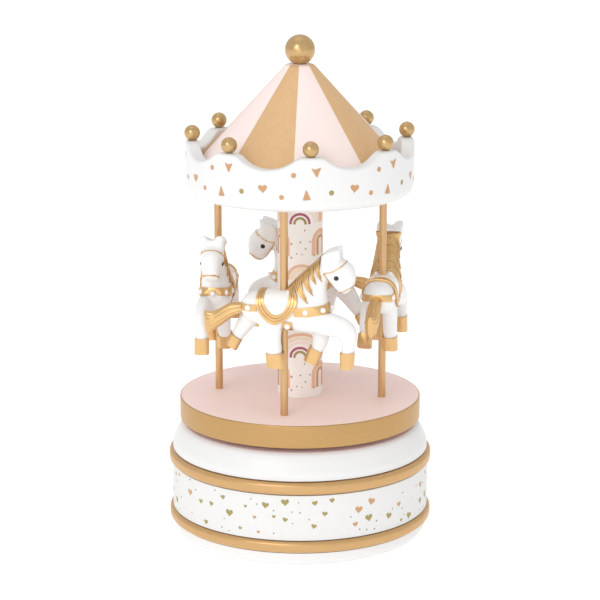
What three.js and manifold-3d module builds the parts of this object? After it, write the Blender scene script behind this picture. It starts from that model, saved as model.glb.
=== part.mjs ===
// A wind-up carousel music box, in millimetres, +Z up, standing on z = 0.
// A turned wooden base holds an 18-note musical movement that hangs from its ceiling. The movement's
// winding shaft comes up through the base and carries the whole carousel: platform, column, four poles
// with their horses, scalloped crown and conical roof. Turning the carousel winds the mainspring, and
// the unwinding spring turns the carousel back while it drives the tune cylinder and the governor.
import * as THREE from "three";
import { mergeVertices } from "three/addons/utils/BufferGeometryUtils.js";
import Module from "manifold-3d";

const wasm = await Module();
wasm.setup();

// ---------------------------------------------------------------- driving dimensions
const GAP = 0.3; // between pieces that are fixed to each other
const RUNNING = 0.1; // radial clearance between a turning shaft and its bearing
const AROUND = 32; // sides of the base's round pieces

const BEAD_RADIUS = 52.5; // outer radius of the two gold beads, the widest part
const BEAD_DEPTH = 2.7; // how far a bead reaches into the shell's groove
const BAND_RADIUS = 51.2;
const PAPER = 0.3; // thickness of the printed paper on the band and the column
const LOWER_BEAD = { bottom: 6.3, top: 11 };
const UPPER_BEAD = { bottom: 29.6, top: 34.6 };
const BASE_TOP = 45.2;
const FOOT_RADIUS = 46.6;
const CAVITY_RADIUS = 38.5;
const CEILING = 37.3; // top of the cavity that holds the movement
const REBATE = { radius: 44, height: 4 };

const PLATFORM = { radius: 48, bottom: 47.2, top: 56.2 };
const SOCKET_DEPTH = 3; // how deep poles and column tenons sit in their sockets
const COLUMN_RADIUS = 9;
const TENON_RADIUS = 5;
const POLE_RADIUS = 1.5;
const POLE_CIRCLE = 33.1;
const FIRST_POLE_ANGLE = -10.6; // degrees from the front, towards +X
const POLES = 4;
const HORSES = [ // how far each is raised on its pole, and turned from the way that it would face squarely
  { rise: 0, turn: 0 }, { rise: 0, turn: 0 }, { rise: -3.3, turn: 0 }, { rise: 0, turn: 5.7 },
];

const CROWN = { radius: 44.8, inner: 39.5, bottom: 137.9, floor: 144.4, peak: 159.2, trough: 154.2 };
const SCALLOPS = 8;
const SCALLOP_FLAT = 6; // half the width of the flat peak under each ball, in degrees
const FIRST_BALL_ANGLE = 5.5;
const BALL_RADIUS = 3.1;
const ROOF = { radius: 38.8, bottom: 144.7, eaves: 151.9, top: 188.7, topRadius: 4.9 };
const FINIAL_RADIUS = 5.9;
const HEIGHT = 200;
const DOWEL_RADIUS = 1.5;

const SHAFT_RADIUS = 2;
const SHAFT = { bottom: 20.5, top: 53.5 }; // the winding shaft, from the movement up into the platform
const MODULE = 0.5; // every gear of the movement
const TOOTH_SHARE = 0.38; // a contrate tooth's width as a share of the pitch
const SPUR_TOOTH = { root: 0.2677, tip: 0.1123 }; // half a spur tooth's width as shares of the pitch
const BEDPLATE = { bottom: 34, top: 37 };
const TUNE_AXIS_Z = 18; // height of the tune cylinder's axis, which runs along +X
const MAIN_TEETH = 42;
const PINION_TEETH = 14;
const DRUM_GEAR_TEETH = 40;
const IDLER_TEETH = 8;
const WORM_WHEEL_TEETH = 16;
const DRUM = { radius: 6.5, start: 14.9, end: 29.9 };
const PIN_HEIGHT = 0.35;
const DRUM_SHAFT = { radius: 0.8, start: 8.6, end: 34.8, bore: 1.1 }; // bore: of what is fixed on it
const DRUM_PINION = { start: 9.3, end: 11.7 };
const DRUM_GEAR = { start: 30.4, end: 31.9 };
const IDLER_SHAFT = { radius: 0.6, start: 16.2, end: 34.6, bore: 0.9 };
const IDLER_PINION = { start: 30.2, end: 32.1 };
const WORM_SHAFT = { radius: 0.5, bottom: 9.8, top: 35.2 };
const COMB_TEETH = 18;

// ---------------------------------------------------------------- materials
const paint = (color, roughness, metalness) => {
  return new THREE.MeshStandardMaterial({ color, roughness, metalness });
};
const WHITE = paint(0xf6f5f3, 0.55, 0);
const PINK = paint(0xf0d3cd, 0.6, 0);
const GOLD = paint(0xc99a5b, 0.35, 0.7);
const PRINT = paint(0xf4efe9, 0.7, 0);
const WOOD = paint(0xc9a77b, 0.8, 0);
const STEEL = paint(0xb9bcc0, 0.3, 1);
const BRASS = paint(0xc8a24e, 0.3, 1);
const CAST = paint(0x8f9296, 0.5, 0.8);
const NYLON = paint(0xe9e7df, 0.5, 0);

// ---------------------------------------------------------------- shape helpers
const carousel = new THREE.Group();

function add(name, shape, material, parent = carousel) {
  const mesh = new THREE.Mesh(shape.isBufferGeometry ? shape : geometryOf(shape), material);
  mesh.name = name;
  parent.add(mesh);
  return mesh;
}

// A closed three.js geometry as a manifold-3d solid.
function solid(geometry) {
  const bare = geometry.index ? geometry.toNonIndexed() : geometry.clone();
  bare.deleteAttribute("normal");
  bare.deleteAttribute("uv");
  const merged = mergeVertices(bare, 1e-4);
  const corners = merged.index.array;
  const kept = [];
  for (let i = 0; i < corners.length; i += 3) {
    const [a, b, c] = corners.slice(i, i + 3);
    if (a !== b && b !== c && c !== a) kept.push(a, b, c);
  }
  return new wasm.Manifold(new wasm.Mesh({
    numProp: 3,
    vertProperties: new Float32Array(merged.attributes.position.array),
    triVerts: new Uint32Array(kept),
  }));
}

function geometryOf(made) {
  const mesh = made.getMesh();
  const points = new Float32Array(mesh.numVert * 3);
  for (let i = 0; i < mesh.numVert; i++) {
    points.set(mesh.vertProperties.subarray(i * mesh.numProp, i * mesh.numProp + 3), i * 3);
  }
  const geometry = new THREE.BufferGeometry();
  geometry.setAttribute("position", new THREE.BufferAttribute(points, 3));
  geometry.setIndex(new THREE.BufferAttribute(mesh.triVerts, 1));
  return geometry;
}

const joinAll = (solids) => solids.reduce((whole, next) => whole.add(next));
const cutAll = (body, tools) => tools.reduce((whole, tool) => whole.subtract(tool), body);
const at = (radius, degrees) => {
  const angle = THREE.MathUtils.degToRad(degrees);
  return [radius * Math.sin(angle), -radius * Math.cos(angle)];
};

// Turns a profile of [radius, z] points about Z. It runs up the outside of the section.
function turn(profile, segments) {
  const lathe = new THREE.LatheGeometry(profile.map(([r, z]) => new THREE.Vector2(r, z)), segments);
  return lathe.rotateX(Math.PI / 2);
}

// A ring's section: a closed rectangle from inner to outer radius.
const ringProfile = (inner, outer, bottom, top) => [
  [inner, bottom], [outer, bottom], [outer, top], [inner, top], [inner, bottom],
];

function rod(radius, bottom, top, x = 0, y = 0, sides = 12) {
  const cylinder = new THREE.CylinderGeometry(radius, radius, top - bottom, sides);
  return cylinder.rotateX(Math.PI / 2).translate(x, y, (bottom + top) / 2);
}

function ball(x, y, z, radius, around, rows) {
  return new THREE.SphereGeometry(radius, around, rows).rotateX(Math.PI / 2).translate(x, y, z);
}

// A rod along +X, for the movement's lying shafts.
function lyingRod(radius, start, end, y, z, sides = 12) {
  const cylinder = new THREE.CylinderGeometry(radius, radius, end - start, sides);
  return cylinder.rotateZ(-Math.PI / 2).translate((start + end) / 2, y, z);
}

function block(x0, x1, y0, y1, z0, z1) {
  const box = new THREE.BoxGeometry(x1 - x0, y1 - y0, z1 - z0);
  return box.translate((x0 + x1) / 2, (y0 + y1) / 2, (z0 + z1) / 2);
}

// A pan-head screw with its head at headZ and its point at tipZ, and a driver slot in the head.
function screw(x, y, headZ, tipZ, shank, head, headHeight) {
  const up = Math.sign(tipZ - headZ);
  const neck = headZ + up * headHeight;
  const [low, high] = [Math.min(neck, tipZ), Math.max(neck, tipZ)];
  const [headLow, headHigh] = [Math.min(headZ, neck), Math.max(headZ, neck)];
  const shankRod = solid(rod(shank, low - 0.05, high, x, y, 6));
  const shape = shankRod.add(solid(rod(head, headLow, headHigh, x, y, 10)));
  const slotDepth = headHeight * 0.4;
  const slot = block(x - head - 1, x + head + 1, y - 0.3, y + 0.3, headZ - slotDepth, headZ + slotDepth);
  return shape.subtract(solid(slot));
}

// ---------------------------------------------------------------- base
const BUSH = { radius: 4, flange: 7, bottom: BASE_TOP + 0.1, top: BASE_TOP + 0.9 };
const MOVEMENT_SCREWS = [[-12, 17], [-12, -19], [30.5, 9.5]];
const COVER = { radius: REBATE.radius - GAP, bottom: 0.4, top: 3.7 };
const COVER_SCREWS = [30, 150, 270].map((degrees) => at(40.9, degrees));
const COUNTERBORE_DEPTH = 2;

// The turned shell, from its foot up the outside and over the shoulder, then down the bore and cavity.
function baseShell() {
  const groove = BEAD_RADIUS - BEAD_DEPTH - GAP;
  const shoulder = [[51, 37.4], [49.9, 40], [48.8, 42.4], [47.7, 44.3], [46.4, BASE_TOP]];
  const profile = [
    [FOOT_RADIUS, 0],
    [49.4, 1.3], [50.6, 3.4], [50.9, LOWER_BEAD.bottom - GAP],
    [groove, LOWER_BEAD.bottom - GAP], [groove, LOWER_BEAD.top + GAP],
    [BAND_RADIUS - PAPER - GAP, LOWER_BEAD.top + GAP], [BAND_RADIUS - PAPER - GAP, UPPER_BEAD.bottom - GAP],
    [groove, UPPER_BEAD.bottom - GAP], [groove, UPPER_BEAD.top + GAP], [51, UPPER_BEAD.top + GAP],
    ...shoulder,
    [BUSH.radius + GAP, BASE_TOP], [BUSH.radius + GAP, CEILING],
    [CAVITY_RADIUS, CEILING], [CAVITY_RADIUS, REBATE.height],
    [REBATE.radius, REBATE.height], [REBATE.radius, 0], [FOOT_RADIUS, 0],
  ];
  const movementHoles = MOVEMENT_SCREWS.map(([x, y]) => solid(rod(1.5, CEILING - 1, 43.5, x, y, 8)));
  const coverHoles = COVER_SCREWS.map(([x, y]) => solid(rod(1.4, REBATE.height - 1, 11, x, y, 8)));
  return cutAll(solid(turn(profile, AROUND)), [...movementHoles, ...coverHoles]);
}

// A half-round bead in its groove.
function bead({ bottom, top }) {
  const inner = BEAD_RADIUS - BEAD_DEPTH;
  const middle = (bottom + top) / 2;
  const half = (top - bottom) / 2;
  const bulge = 1.6;
  const profile = [[inner, bottom], [BEAD_RADIUS - bulge, bottom]];
  for (const degrees of [-30, 30]) {
    const angle = THREE.MathUtils.degToRad(degrees);
    profile.push([BEAD_RADIUS, middle + half * Math.sin(angle)]);
  }
  profile.push([BEAD_RADIUS - bulge, top], [inner, top], [inner, bottom]);
  return turn(profile, AROUND);
}

add("base_shell", baseShell(), WHITE);
add("lower_bead", bead(LOWER_BEAD), GOLD);
add("upper_bead", bead(UPPER_BEAD), GOLD);
const [bandBottom, bandTop] = [LOWER_BEAD.top + GAP, UPPER_BEAD.bottom - GAP];
const bandProfile = ringProfile(BAND_RADIUS - PAPER, BAND_RADIUS, bandBottom, bandTop);
add("heart_band", turn(bandProfile, AROUND), PRINT);

const coverProfile = [
  [0, COVER.bottom], [COVER.radius, COVER.bottom], [COVER.radius, COVER.top], [0, COVER.top],
];
const coverBores = COVER_SCREWS.flatMap(([x, y]) => [
  solid(rod(1.4, -1, COVER.top + 1, x, y, 8)),
  solid(rod(2.3, -1, COUNTERBORE_DEPTH, x, y, 12)),
]);
add("base_cover", cutAll(solid(turn(coverProfile, 32)), coverBores), WOOD);
COVER_SCREWS.forEach(([x, y], i) => {
  add(`cover_screw_${i + 1}`, screw(x, y, 0.6, 10, 1.1, 2, 1.1), STEEL);
});

const bushProfile = [
  [SHAFT_RADIUS + RUNNING, CEILING + GAP], [BUSH.radius, CEILING + GAP], [BUSH.radius, BUSH.bottom],
  [BUSH.flange, BUSH.bottom], [BUSH.flange, BUSH.top],
  [SHAFT_RADIUS + RUNNING, BUSH.top], [SHAFT_RADIUS + RUNNING, CEILING + GAP],
];
add("shaft_bush", turn(bushProfile, 20), BRASS);

// ---------------------------------------------------------------- movement: gears
// A spur gear's outline with straight-flanked teeth and a bore, with a tooth centred on +X when phase is 0.
function gearShape(teeth, bore, phase = 0) {
  const pitchRadius = (MODULE * teeth) / 2;
  const tip = pitchRadius + 0.9 * MODULE;
  const root = pitchRadius - 1.15 * MODULE;
  const step = (2 * Math.PI) / teeth;
  const outline = [];
  for (let i = 0; i < teeth; i++) {
    const middle = (i + phase) * step;
    const corners = [
      [root, -SPUR_TOOTH.root], [tip, -SPUR_TOOTH.tip], [tip, SPUR_TOOTH.tip], [root, SPUR_TOOTH.root],
    ];
    corners.forEach(([r, share]) => {
      const angle = middle + share * step;
      outline.push(new THREE.Vector2(r * Math.cos(angle), r * Math.sin(angle)));
    });
  }
  const shape = new THREE.Shape(outline);
  shape.holes.push(new THREE.Path().absarc(0, 0, bore, 0, 2 * Math.PI, true));
  return shape;
}

// A gear on a lying shaft along +X, from start to end, centred on (y, z).
function lyingGear(teeth, bore, start, end, y, z, phase = 0) {
  const gear = new THREE.ExtrudeGeometry(gearShape(teeth, bore, phase), {
    depth: end - start, bevelEnabled: false, curveSegments: 6,
  });
  // The outline's X turns to +Z and its Y to -Y, so that the depth runs along +X.
  const basis = new THREE.Matrix4().makeBasis(
    new THREE.Vector3(0, 0, 1), new THREE.Vector3(0, -1, 0), new THREE.Vector3(1, 0, 0),
  );
  return gear.applyMatrix4(basis).translate(start, y, z);
}

const MAIN_RADIUS = (MODULE * MAIN_TEETH) / 2;
const PITCH_LINE_Z = TUNE_AXIS_Z + (MODULE * PINION_TEETH) / 2;
const IDLER_Y = -(MODULE * (DRUM_GEAR_TEETH + IDLER_TEETH)) / 2;
const WORM_X = 21.5;
const WORM = { core: 0.95, pitch: 1.5, tip: 1.9, bottom: 15.4, top: 20.6 };
const WORM_Y = IDLER_Y - (MODULE * WORM_WHEEL_TEETH) / 2 - WORM.pitch;

// The main wheel is a contrate wheel: its teeth stand on its underside and drive the drum's pinion.
function mainWheel() {
  const underside = PITCH_LINE_Z + 1.25 * MODULE;
  const disc = solid(turn(ringProfile(SHAFT_RADIUS + GAP, MAIN_RADIUS + 1.1, underside, underside + 2), 42));
  const toothWidth = TOOTH_SHARE * Math.PI * MODULE;
  const teeth = [];
  for (let i = 0; i < MAIN_TEETH; i++) {
    const tooth = block(MAIN_RADIUS - 0.9, MAIN_RADIUS + 0.9, -toothWidth / 2, toothWidth / 2,
      PITCH_LINE_Z - 0.65 * MODULE, underside + 0.4);
    teeth.push(solid(tooth.rotateZ(((i + 0.5) * 2 * Math.PI) / MAIN_TEETH)));
  }
  return disc.add(joinAll(teeth));
}

add("main_wheel", mainWheel(), BRASS);
add("winding_shaft", rod(SHAFT_RADIUS, SHAFT.bottom, SHAFT.top, 0, 0, 20), STEEL);

add("drum_arbor", lyingRod(DRUM_SHAFT.radius, DRUM_SHAFT.start, DRUM_SHAFT.end, 0, TUNE_AXIS_Z, 10), STEEL);
const drumPinion = lyingGear(
  PINION_TEETH, DRUM_SHAFT.bore, DRUM_PINION.start, DRUM_PINION.end, 0, TUNE_AXIS_Z,
);
add("drum_pinion", drumPinion, BRASS);
const drumGear = lyingGear(
  DRUM_GEAR_TEETH, DRUM_SHAFT.bore, DRUM_GEAR.start, DRUM_GEAR.end, 0, TUNE_AXIS_Z,
);
add("drum_gear", drumGear, BRASS);

// The tune drum, with one pin for each tooth of the comb, spread around it by the golden angle.
function tuneDrum() {
  const drum = solid(lyingRod(DRUM.radius, DRUM.start, DRUM.end, 0, TUNE_AXIS_Z, 24));
  const pitch = (DRUM.end - DRUM.start) / COMB_TEETH;
  const pins = [];
  for (let i = 0; i < COMB_TEETH; i++) {
    const pin = block(-0.2, 0.2, -0.2, 0.2, DRUM.radius - 0.5, DRUM.radius + PIN_HEIGHT);
    const around = THREE.MathUtils.degToRad(i * 137.5);
    pins.push(solid(pin.rotateX(around).translate(DRUM.start + (i + 0.5) * pitch, 0, TUNE_AXIS_Z)));
  }
  const bore = solid(lyingRod(DRUM_SHAFT.bore, DRUM.start - 1, DRUM.end + 1, 0, TUNE_AXIS_Z, 10));
  return joinAll([drum, ...pins]).subtract(bore);
}
add("tune_drum", tuneDrum(), BRASS);

const idlerArbor = lyingRod(IDLER_SHAFT.radius, IDLER_SHAFT.start, IDLER_SHAFT.end, IDLER_Y, TUNE_AXIS_Z, 10);
add("idler_arbor", idlerArbor, STEEL);
const idlerPinion = lyingGear(
  IDLER_TEETH, IDLER_SHAFT.bore, IDLER_PINION.start, IDLER_PINION.end, IDLER_Y, TUNE_AXIS_Z, 0.5,
);
add("idler_pinion", idlerPinion, BRASS);
const wormWheel = lyingGear(
  WORM_WHEEL_TEETH, IDLER_SHAFT.bore, WORM_X - 0.6, WORM_X + 0.6, IDLER_Y, TUNE_AXIS_Z,
);
add("worm_wheel", wormWheel, NYLON);

// The worm has one thread of the wheel's pitch: a round section with a single lobe, extruded and twisted.
function worm() {
  const lead = Math.PI * MODULE;
  const stepsPerTurn = 10;
  const outline = [];
  for (const degrees of [-24, 24, 55, 85, 130, 180, 230, 275, 305]) {
    const angle = THREE.MathUtils.degToRad(degrees);
    const radius = Math.abs(degrees) === 24 ? WORM.tip : WORM.core;
    outline.push(new THREE.Vector2(radius * Math.cos(angle), radius * Math.sin(angle)));
  }
  const length = WORM.top - WORM.bottom;
  const thread = new THREE.ExtrudeGeometry(new THREE.Shape(outline), {
    depth: length, steps: Math.round((length / lead) * stepsPerTurn), bevelEnabled: false,
  });
  const point = new THREE.Vector3();
  const points = thread.attributes.position;
  for (let i = 0; i < points.count; i++) {
    point.fromBufferAttribute(points, i);
    const turns = (point.z + WORM.bottom - TUNE_AXIS_Z) / lead - 0.25;
    point.applyAxisAngle(new THREE.Vector3(0, 0, 1), turns * 2 * Math.PI);
    points.setXYZ(i, WORM_X + point.x, WORM_Y + point.y, WORM.bottom + point.z);
  }
  const { radius, bottom, top } = WORM_SHAFT;
  return solid(thread).add(solid(rod(radius, bottom, top, WORM_X, WORM_Y, 10)));
}
add("governor_worm", worm(), STEEL);
const fanHub = solid(turn(ringProfile(0.8, 1.6, 25.5, 30), 10).translate(WORM_X, WORM_Y, 0));
const fanWings = solid(block(WORM_X - 4.2, WORM_X + 4.2, WORM_Y - 0.3, WORM_Y + 0.3, 26, 29.5));
const fanBore = solid(rod(0.8, 25, 31, WORM_X, WORM_Y, 10));
add("governor_fan", fanHub.add(fanWings).subtract(fanBore), NYLON);

// ---------------------------------------------------------------- movement: fixed parts
const COMB_SCREWS = [[DRUM.start + 3.5, 18.4], [DRUM.end - 3.5, 18.4]];
const BRACKET_SCREW = [16.2, -24.3];

function bedplate() {
  const plate = solid(block(-17, 35.5, -27, 25, BEDPLATE.bottom, BEDPLATE.top));
  const round = solid(rod(CAVITY_RADIUS - 0.6, BEDPLATE.bottom - 1, BEDPLATE.top + 1, 0, 0, 32));
  const lugs = [
    block(12.9, 14.1, -3, 3, TUNE_AXIS_Z - 3, BEDPLATE.bottom + 1), // drum, inner bearing
    block(32.8, 34.3, -14, 3.5, TUNE_AXIS_Z - 3, BEDPLATE.bottom + 1), // drum and idler, outer bearing
    block(16.5, 17.7, IDLER_Y - 2.2, IDLER_Y + 2.2, TUNE_AXIS_Z - 2.5, BEDPLATE.bottom + 1), // idler, inner
    block(DRUM.start, DRUM.end, 14.5, 22, TUNE_AXIS_Z + 0.8, BEDPLATE.bottom + 1), // pedestal of the comb
  ].map((lug) => solid(lug));
  const holes = [
    rod(SHAFT_RADIUS + 0.5, BEDPLATE.bottom - 1, BEDPLATE.top + 1, 0, 0, 20),
    lyingRod(DRUM_SHAFT.radius + RUNNING, 12, 36, 0, TUNE_AXIS_Z, 10),
    lyingRod(IDLER_SHAFT.radius + RUNNING, 16, 36, IDLER_Y, TUNE_AXIS_Z, 10),
    rod(WORM_SHAFT.radius + RUNNING, BEDPLATE.bottom - 1, BEDPLATE.top + 1, WORM_X, WORM_Y, 10),
    rod(1, BEDPLATE.bottom - 1, BEDPLATE.top + 1, ...BRACKET_SCREW, 8),
    ...MOVEMENT_SCREWS.map(([x, y]) => rod(1.5, BEDPLATE.bottom - 1, BEDPLATE.top + 1, x, y, 8)),
    ...COMB_SCREWS.map(([x, y]) => rod(1.1, TUNE_AXIS_Z, TUNE_AXIS_Z + 8, x, y, 8)),
  ].map((hole) => solid(hole));
  return cutAll(joinAll([plate.intersect(round), ...lugs]), holes);
}
add("movement_bedplate", bedplate(), CAST);

const BARREL = { radius: 12, bottom: 24.9, wall: 0.8, top: BEDPLATE.bottom - 0.1 };
const barrelProfile = [
  [SHAFT_RADIUS + GAP, BARREL.bottom], [BARREL.radius, BARREL.bottom], [BARREL.radius, BARREL.top],
  [BARREL.radius - BARREL.wall, BARREL.top], [BARREL.radius - BARREL.wall, BARREL.bottom + BARREL.wall],
  [SHAFT_RADIUS + GAP, BARREL.bottom + BARREL.wall], [SHAFT_RADIUS + GAP, BARREL.bottom],
];
add("spring_barrel", turn(barrelProfile, 24), STEEL);

// The mainspring: a flat strip coiled from the shaft out to the barrel's wall.
function mainspring() {
  const turns = 4.5;
  const steps = 45;
  const strip = 0.45;
  const inner = [];
  const outer = [];
  for (let i = 0; i <= steps; i++) {
    const share = i / steps;
    const angle = share * turns * 2 * Math.PI;
    const radius = 2.6 + share * 7.8;
    inner.push(new THREE.Vector2(radius * Math.cos(angle), radius * Math.sin(angle)));
    outer.push(new THREE.Vector2((radius + strip) * Math.cos(angle), (radius + strip) * Math.sin(angle)));
  }
  const shape = new THREE.Shape([...outer, ...inner.reverse()]);
  return new THREE.ExtrudeGeometry(shape, { depth: 6.6, bevelEnabled: false }).translate(0, 0, 26.4);
}
add("mainspring", mainspring(), STEEL);

// The comb: a steel plate whose teeth end just clear of the drum's pins.
function comb() {
  const [back, root, tip] = [21.5, 14, DRUM.radius + PIN_HEIGHT + 0.2];
  const pitch = (DRUM.end - DRUM.start) / COMB_TEETH;
  const outline = [[DRUM.end, back], [DRUM.start, back], [DRUM.start, root]];
  for (let i = 0; i < COMB_TEETH; i++) {
    const middle = DRUM.start + (i + 0.5) * pitch;
    outline.push([middle - 0.28, root], [middle - 0.28, tip], [middle + 0.28, tip], [middle + 0.28, root]);
  }
  outline.push([DRUM.end, root]);
  const shape = new THREE.Shape(outline.map(([x, y]) => new THREE.Vector2(x, y)));
  const plate = new THREE.ExtrudeGeometry(shape, { depth: 0.9, bevelEnabled: false });
  const holes = COMB_SCREWS.map(([x, y]) => solid(rod(1.3, TUNE_AXIS_Z - 2, TUNE_AXIS_Z + 2, x, y, 8)));
  return cutAll(solid(plate.translate(0, 0, TUNE_AXIS_Z - 0.4)), holes);
}
add("comb", comb(), STEEL);
COMB_SCREWS.forEach(([x, y], i) => {
  add(`comb_screw_${i + 1}`, screw(x, y, TUNE_AXIS_Z - 1.9, TUNE_AXIS_Z + 7.5, 0.8, 2, 1.3), STEEL);
});

function governorBracket() {
  const back = WORM_Y - 6.8;
  const foot = block(13.6, 24, back, back + 4, 31.9, BEDPLATE.bottom - 0.1);
  const post = block(WORM_X - 2.5, WORM_X + 2.5, back, back + 1.6, 9.6, 32.5);
  const arm = block(WORM_X - 2.5, WORM_X + 2.5, back, WORM_Y + 2.5, 9.6, 11);
  const pivot = rod(WORM_SHAFT.radius + RUNNING, 9, 12, WORM_X, WORM_Y, 10);
  const hole = rod(1, 31, 35, ...BRACKET_SCREW, 8);
  return cutAll(joinAll([foot, post, arm].map((piece) => solid(piece))), [solid(pivot), solid(hole)]);
}
add("governor_bracket", governorBracket(), CAST);
add("bracket_screw", screw(...BRACKET_SCREW, 30.5, 36.5, 0.7, 1.5, 1.2), STEEL);
MOVEMENT_SCREWS.forEach(([x, y], i) => {
  add(`movement_screw_${i + 1}`, screw(x, y, 32.4, 43, 1.2, 2.4, 1.4), STEEL);
});

// ---------------------------------------------------------------- platform and its hub
const HUB = { flange: 9, flangeHeight: 2.1, boss: 3.8, top: 52.6 };
const HUB_SCREWS = [0, 120, 240].map((degrees) => at(6.4, degrees));
const poleSpots = Array.from({ length: POLES }, (_, i) => FIRST_POLE_ANGLE + (360 / POLES) * i);

function platform() {
  const { radius, bottom, top } = PLATFORM;
  const profile = [
    [0, bottom], [radius - 0.4, bottom], [radius, bottom + 0.4],
    [radius, top - 0.4], [radius - 0.4, top], [0, top],
  ];
  const sockets = poleSpots.map((degrees) => {
    return solid(rod(POLE_RADIUS + GAP, top - SOCKET_DEPTH - 0.2, top + 1, ...at(POLE_CIRCLE, degrees), 10));
  });
  const hubPocket = solid(rod(HUB.flange + GAP, bottom - 1, bottom + HUB.flangeHeight + GAP, 0, 0, 20));
  const hubBore = solid(rod(HUB.boss + GAP, bottom, SHAFT.top + GAP, 0, 0, 16));
  const tenonSocket = solid(rod(TENON_RADIUS + GAP, top - SOCKET_DEPTH, top + 1, 0, 0, 16));
  const screwHoles = HUB_SCREWS.map(([x, y]) => solid(rod(0.9 + GAP, bottom, bottom + 6.2, x, y, 8)));
  return cutAll(solid(turn(profile, 40)), [...sockets, hubPocket, hubBore, tenonSocket, ...screwHoles]);
}
add("platform", platform(), PINK);

const washerBottom = BUSH.top + RUNNING;
add("thrust_washer", turn(ringProfile(SHAFT_RADIUS + GAP, 6, washerBottom, washerBottom + 0.6), 20), NYLON);

function hub() {
  const { bottom } = PLATFORM;
  const bore = SHAFT_RADIUS + GAP;
  const flange = solid(turn(ringProfile(bore, HUB.flange, bottom, bottom + HUB.flangeHeight), 20));
  const boss = solid(turn(ringProfile(bore, HUB.boss, bottom + 1, HUB.top), 20));
  const holes = HUB_SCREWS.map(([x, y]) => solid(rod(1.2, bottom - 1, bottom + 4, x, y, 8)));
  const recesses = HUB_SCREWS.map(([x, y]) => solid(rod(2, bottom - 1, bottom + 1.2, x, y, 8)));
  return cutAll(flange.add(boss), [...holes, ...recesses]);
}
add("hub_plate", hub(), BRASS);
HUB_SCREWS.forEach(([x, y], i) => {
  add(`hub_screw_${i + 1}`, screw(x, y, PLATFORM.bottom + 0.1, 53, 0.9, 1.7, 1), STEEL);
});

// ---------------------------------------------------------------- column and poles
const coreRadius = COLUMN_RADIUS - PAPER - GAP;
const coreProfile = [
  [0, PLATFORM.top - SOCKET_DEPTH + GAP], [TENON_RADIUS, PLATFORM.top - SOCKET_DEPTH + GAP],
  [TENON_RADIUS, PLATFORM.top + 0.1], [coreRadius, PLATFORM.top + 0.1],
  [coreRadius, CROWN.bottom - 0.1], [TENON_RADIUS, CROWN.bottom - 0.1],
  [TENON_RADIUS, CROWN.bottom + SOCKET_DEPTH - GAP], [0, CROWN.bottom + SOCKET_DEPTH - GAP],
];
add("column_core", turn(coreProfile, 20), WOOD);
const wrapProfile = ringProfile(COLUMN_RADIUS - PAPER, COLUMN_RADIUS, PLATFORM.top + 0.1, CROWN.bottom - 0.1);
add("column_wrap", turn(wrapProfile, 32), PRINT);
poleSpots.forEach((degrees, i) => {
  const [x, y] = at(POLE_CIRCLE, degrees);
  const [low, high] = [PLATFORM.top - SOCKET_DEPTH + GAP, CROWN.bottom + SOCKET_DEPTH - GAP];
  add(`pole_${i + 1}`, rod(POLE_RADIUS, low, high, x, y, 12), GOLD);
});

// ---------------------------------------------------------------- horses
// A slab of the horse between two widths across it, cut to an outline of [ahead, height] points. Heights
// are above the platform's top, and the pole stands at 0 ahead and 0 across. Its edges are bevelled.
function slab(outline, [right, left], bevel = 0) {
  const shape = new THREE.Shape(outline.map(([ahead, height]) => new THREE.Vector2(ahead, height)));
  const geometry = new THREE.ExtrudeGeometry(shape, {
    depth: left - right - 2 * bevel,
    bevelEnabled: bevel > 0,
    bevelThickness: bevel,
    bevelSize: bevel,
    bevelOffset: -bevel,
    bevelSegments: 1,
  });
  return solid(geometry.rotateX(Math.PI / 2).translate(0, left - bevel, 0));
}

// The horse gallops: its right foreleg is raised with the hoof hanging, the left one is folded back,
// the right hind leg is under the body and the left one is stretched behind.
const TORSO = [
  [-16.4, 41], [-15.2, 46.6], [-12, 49.2], [-8, 50.2], [3, 50.2], [9, 49], [17, 46], [18.2, 41.5], [15.6, 35],
  [9, 33.6], [-2, 35.2], [-9, 36.2],
];
const NECK_AND_HEAD = [
  [1, 49], [4.3, 54.6], [10.1, 59.8], [14, 63.4], [15, 65.6], [22.4, 67.4], [23.6, 63], [26.5, 61],
  [27.9, 57.6], [27.2, 52.4], [24.4, 49.4], [20.8, 50], [17, 54.2], [16.8, 44], [6, 44],
];
const TAIL = [
  [-14, 40], [-14, 44.2], [-21, 43.9], [-27.5, 40.2], [-31.5, 40.4], [-31.2, 31.6], [-28, 31.8], [-21, 38],
];
const RIGHT_FORELEG = [
  [8, 34], [8, 42], [18, 43], [25, 40.6], [29, 35.5], [28, 21], [22.6, 21], [22.8, 29.6], [20.6, 33],
];
const LEFT_FORELEG = [
  [9, 37], [9, 41], [16.4, 41], [17.6, 32], [14.8, 25], [12.4, 19.6], [7, 22], [10.2, 28.8], [10.4, 34],
];
const RIGHT_HIND_LEG = [
  [-13, 39], [-4, 41], [0, 36.5], [-0.2, 27], [1, 25.4], [1, 19.8], [-5.9, 20], [-6, 25.6], [-8, 32],
];
const LEFT_HIND_LEG = [
  [-16.8, 41], [-8, 41], [-9.6, 36], [-13.2, 33], [-17.2, 28.8], [-19.6, 24.4], [-23.8, 27.2], [-20.6, 33.4],
];
const RIGHT_SIDE = [-7, -1];
const LEFT_SIDE = [1, 7];

function horse() {
  const body = [
    slab(TORSO, [-6.4, 6.4], 1.6),
    slab(NECK_AND_HEAD, [-4.6, 4.6], 1.2),
    slab(TAIL, [-2.6, 2.6]),
    slab(RIGHT_FORELEG, RIGHT_SIDE),
    slab(LEFT_FORELEG, LEFT_SIDE),
    slab(RIGHT_HIND_LEG, RIGHT_SIDE),
    slab(LEFT_HIND_LEG, LEFT_SIDE),
  ];
  return joinAll(body).subtract(solid(rod(POLE_RADIUS + GAP, 0, 80, 0, 0, 8)));
}

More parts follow.
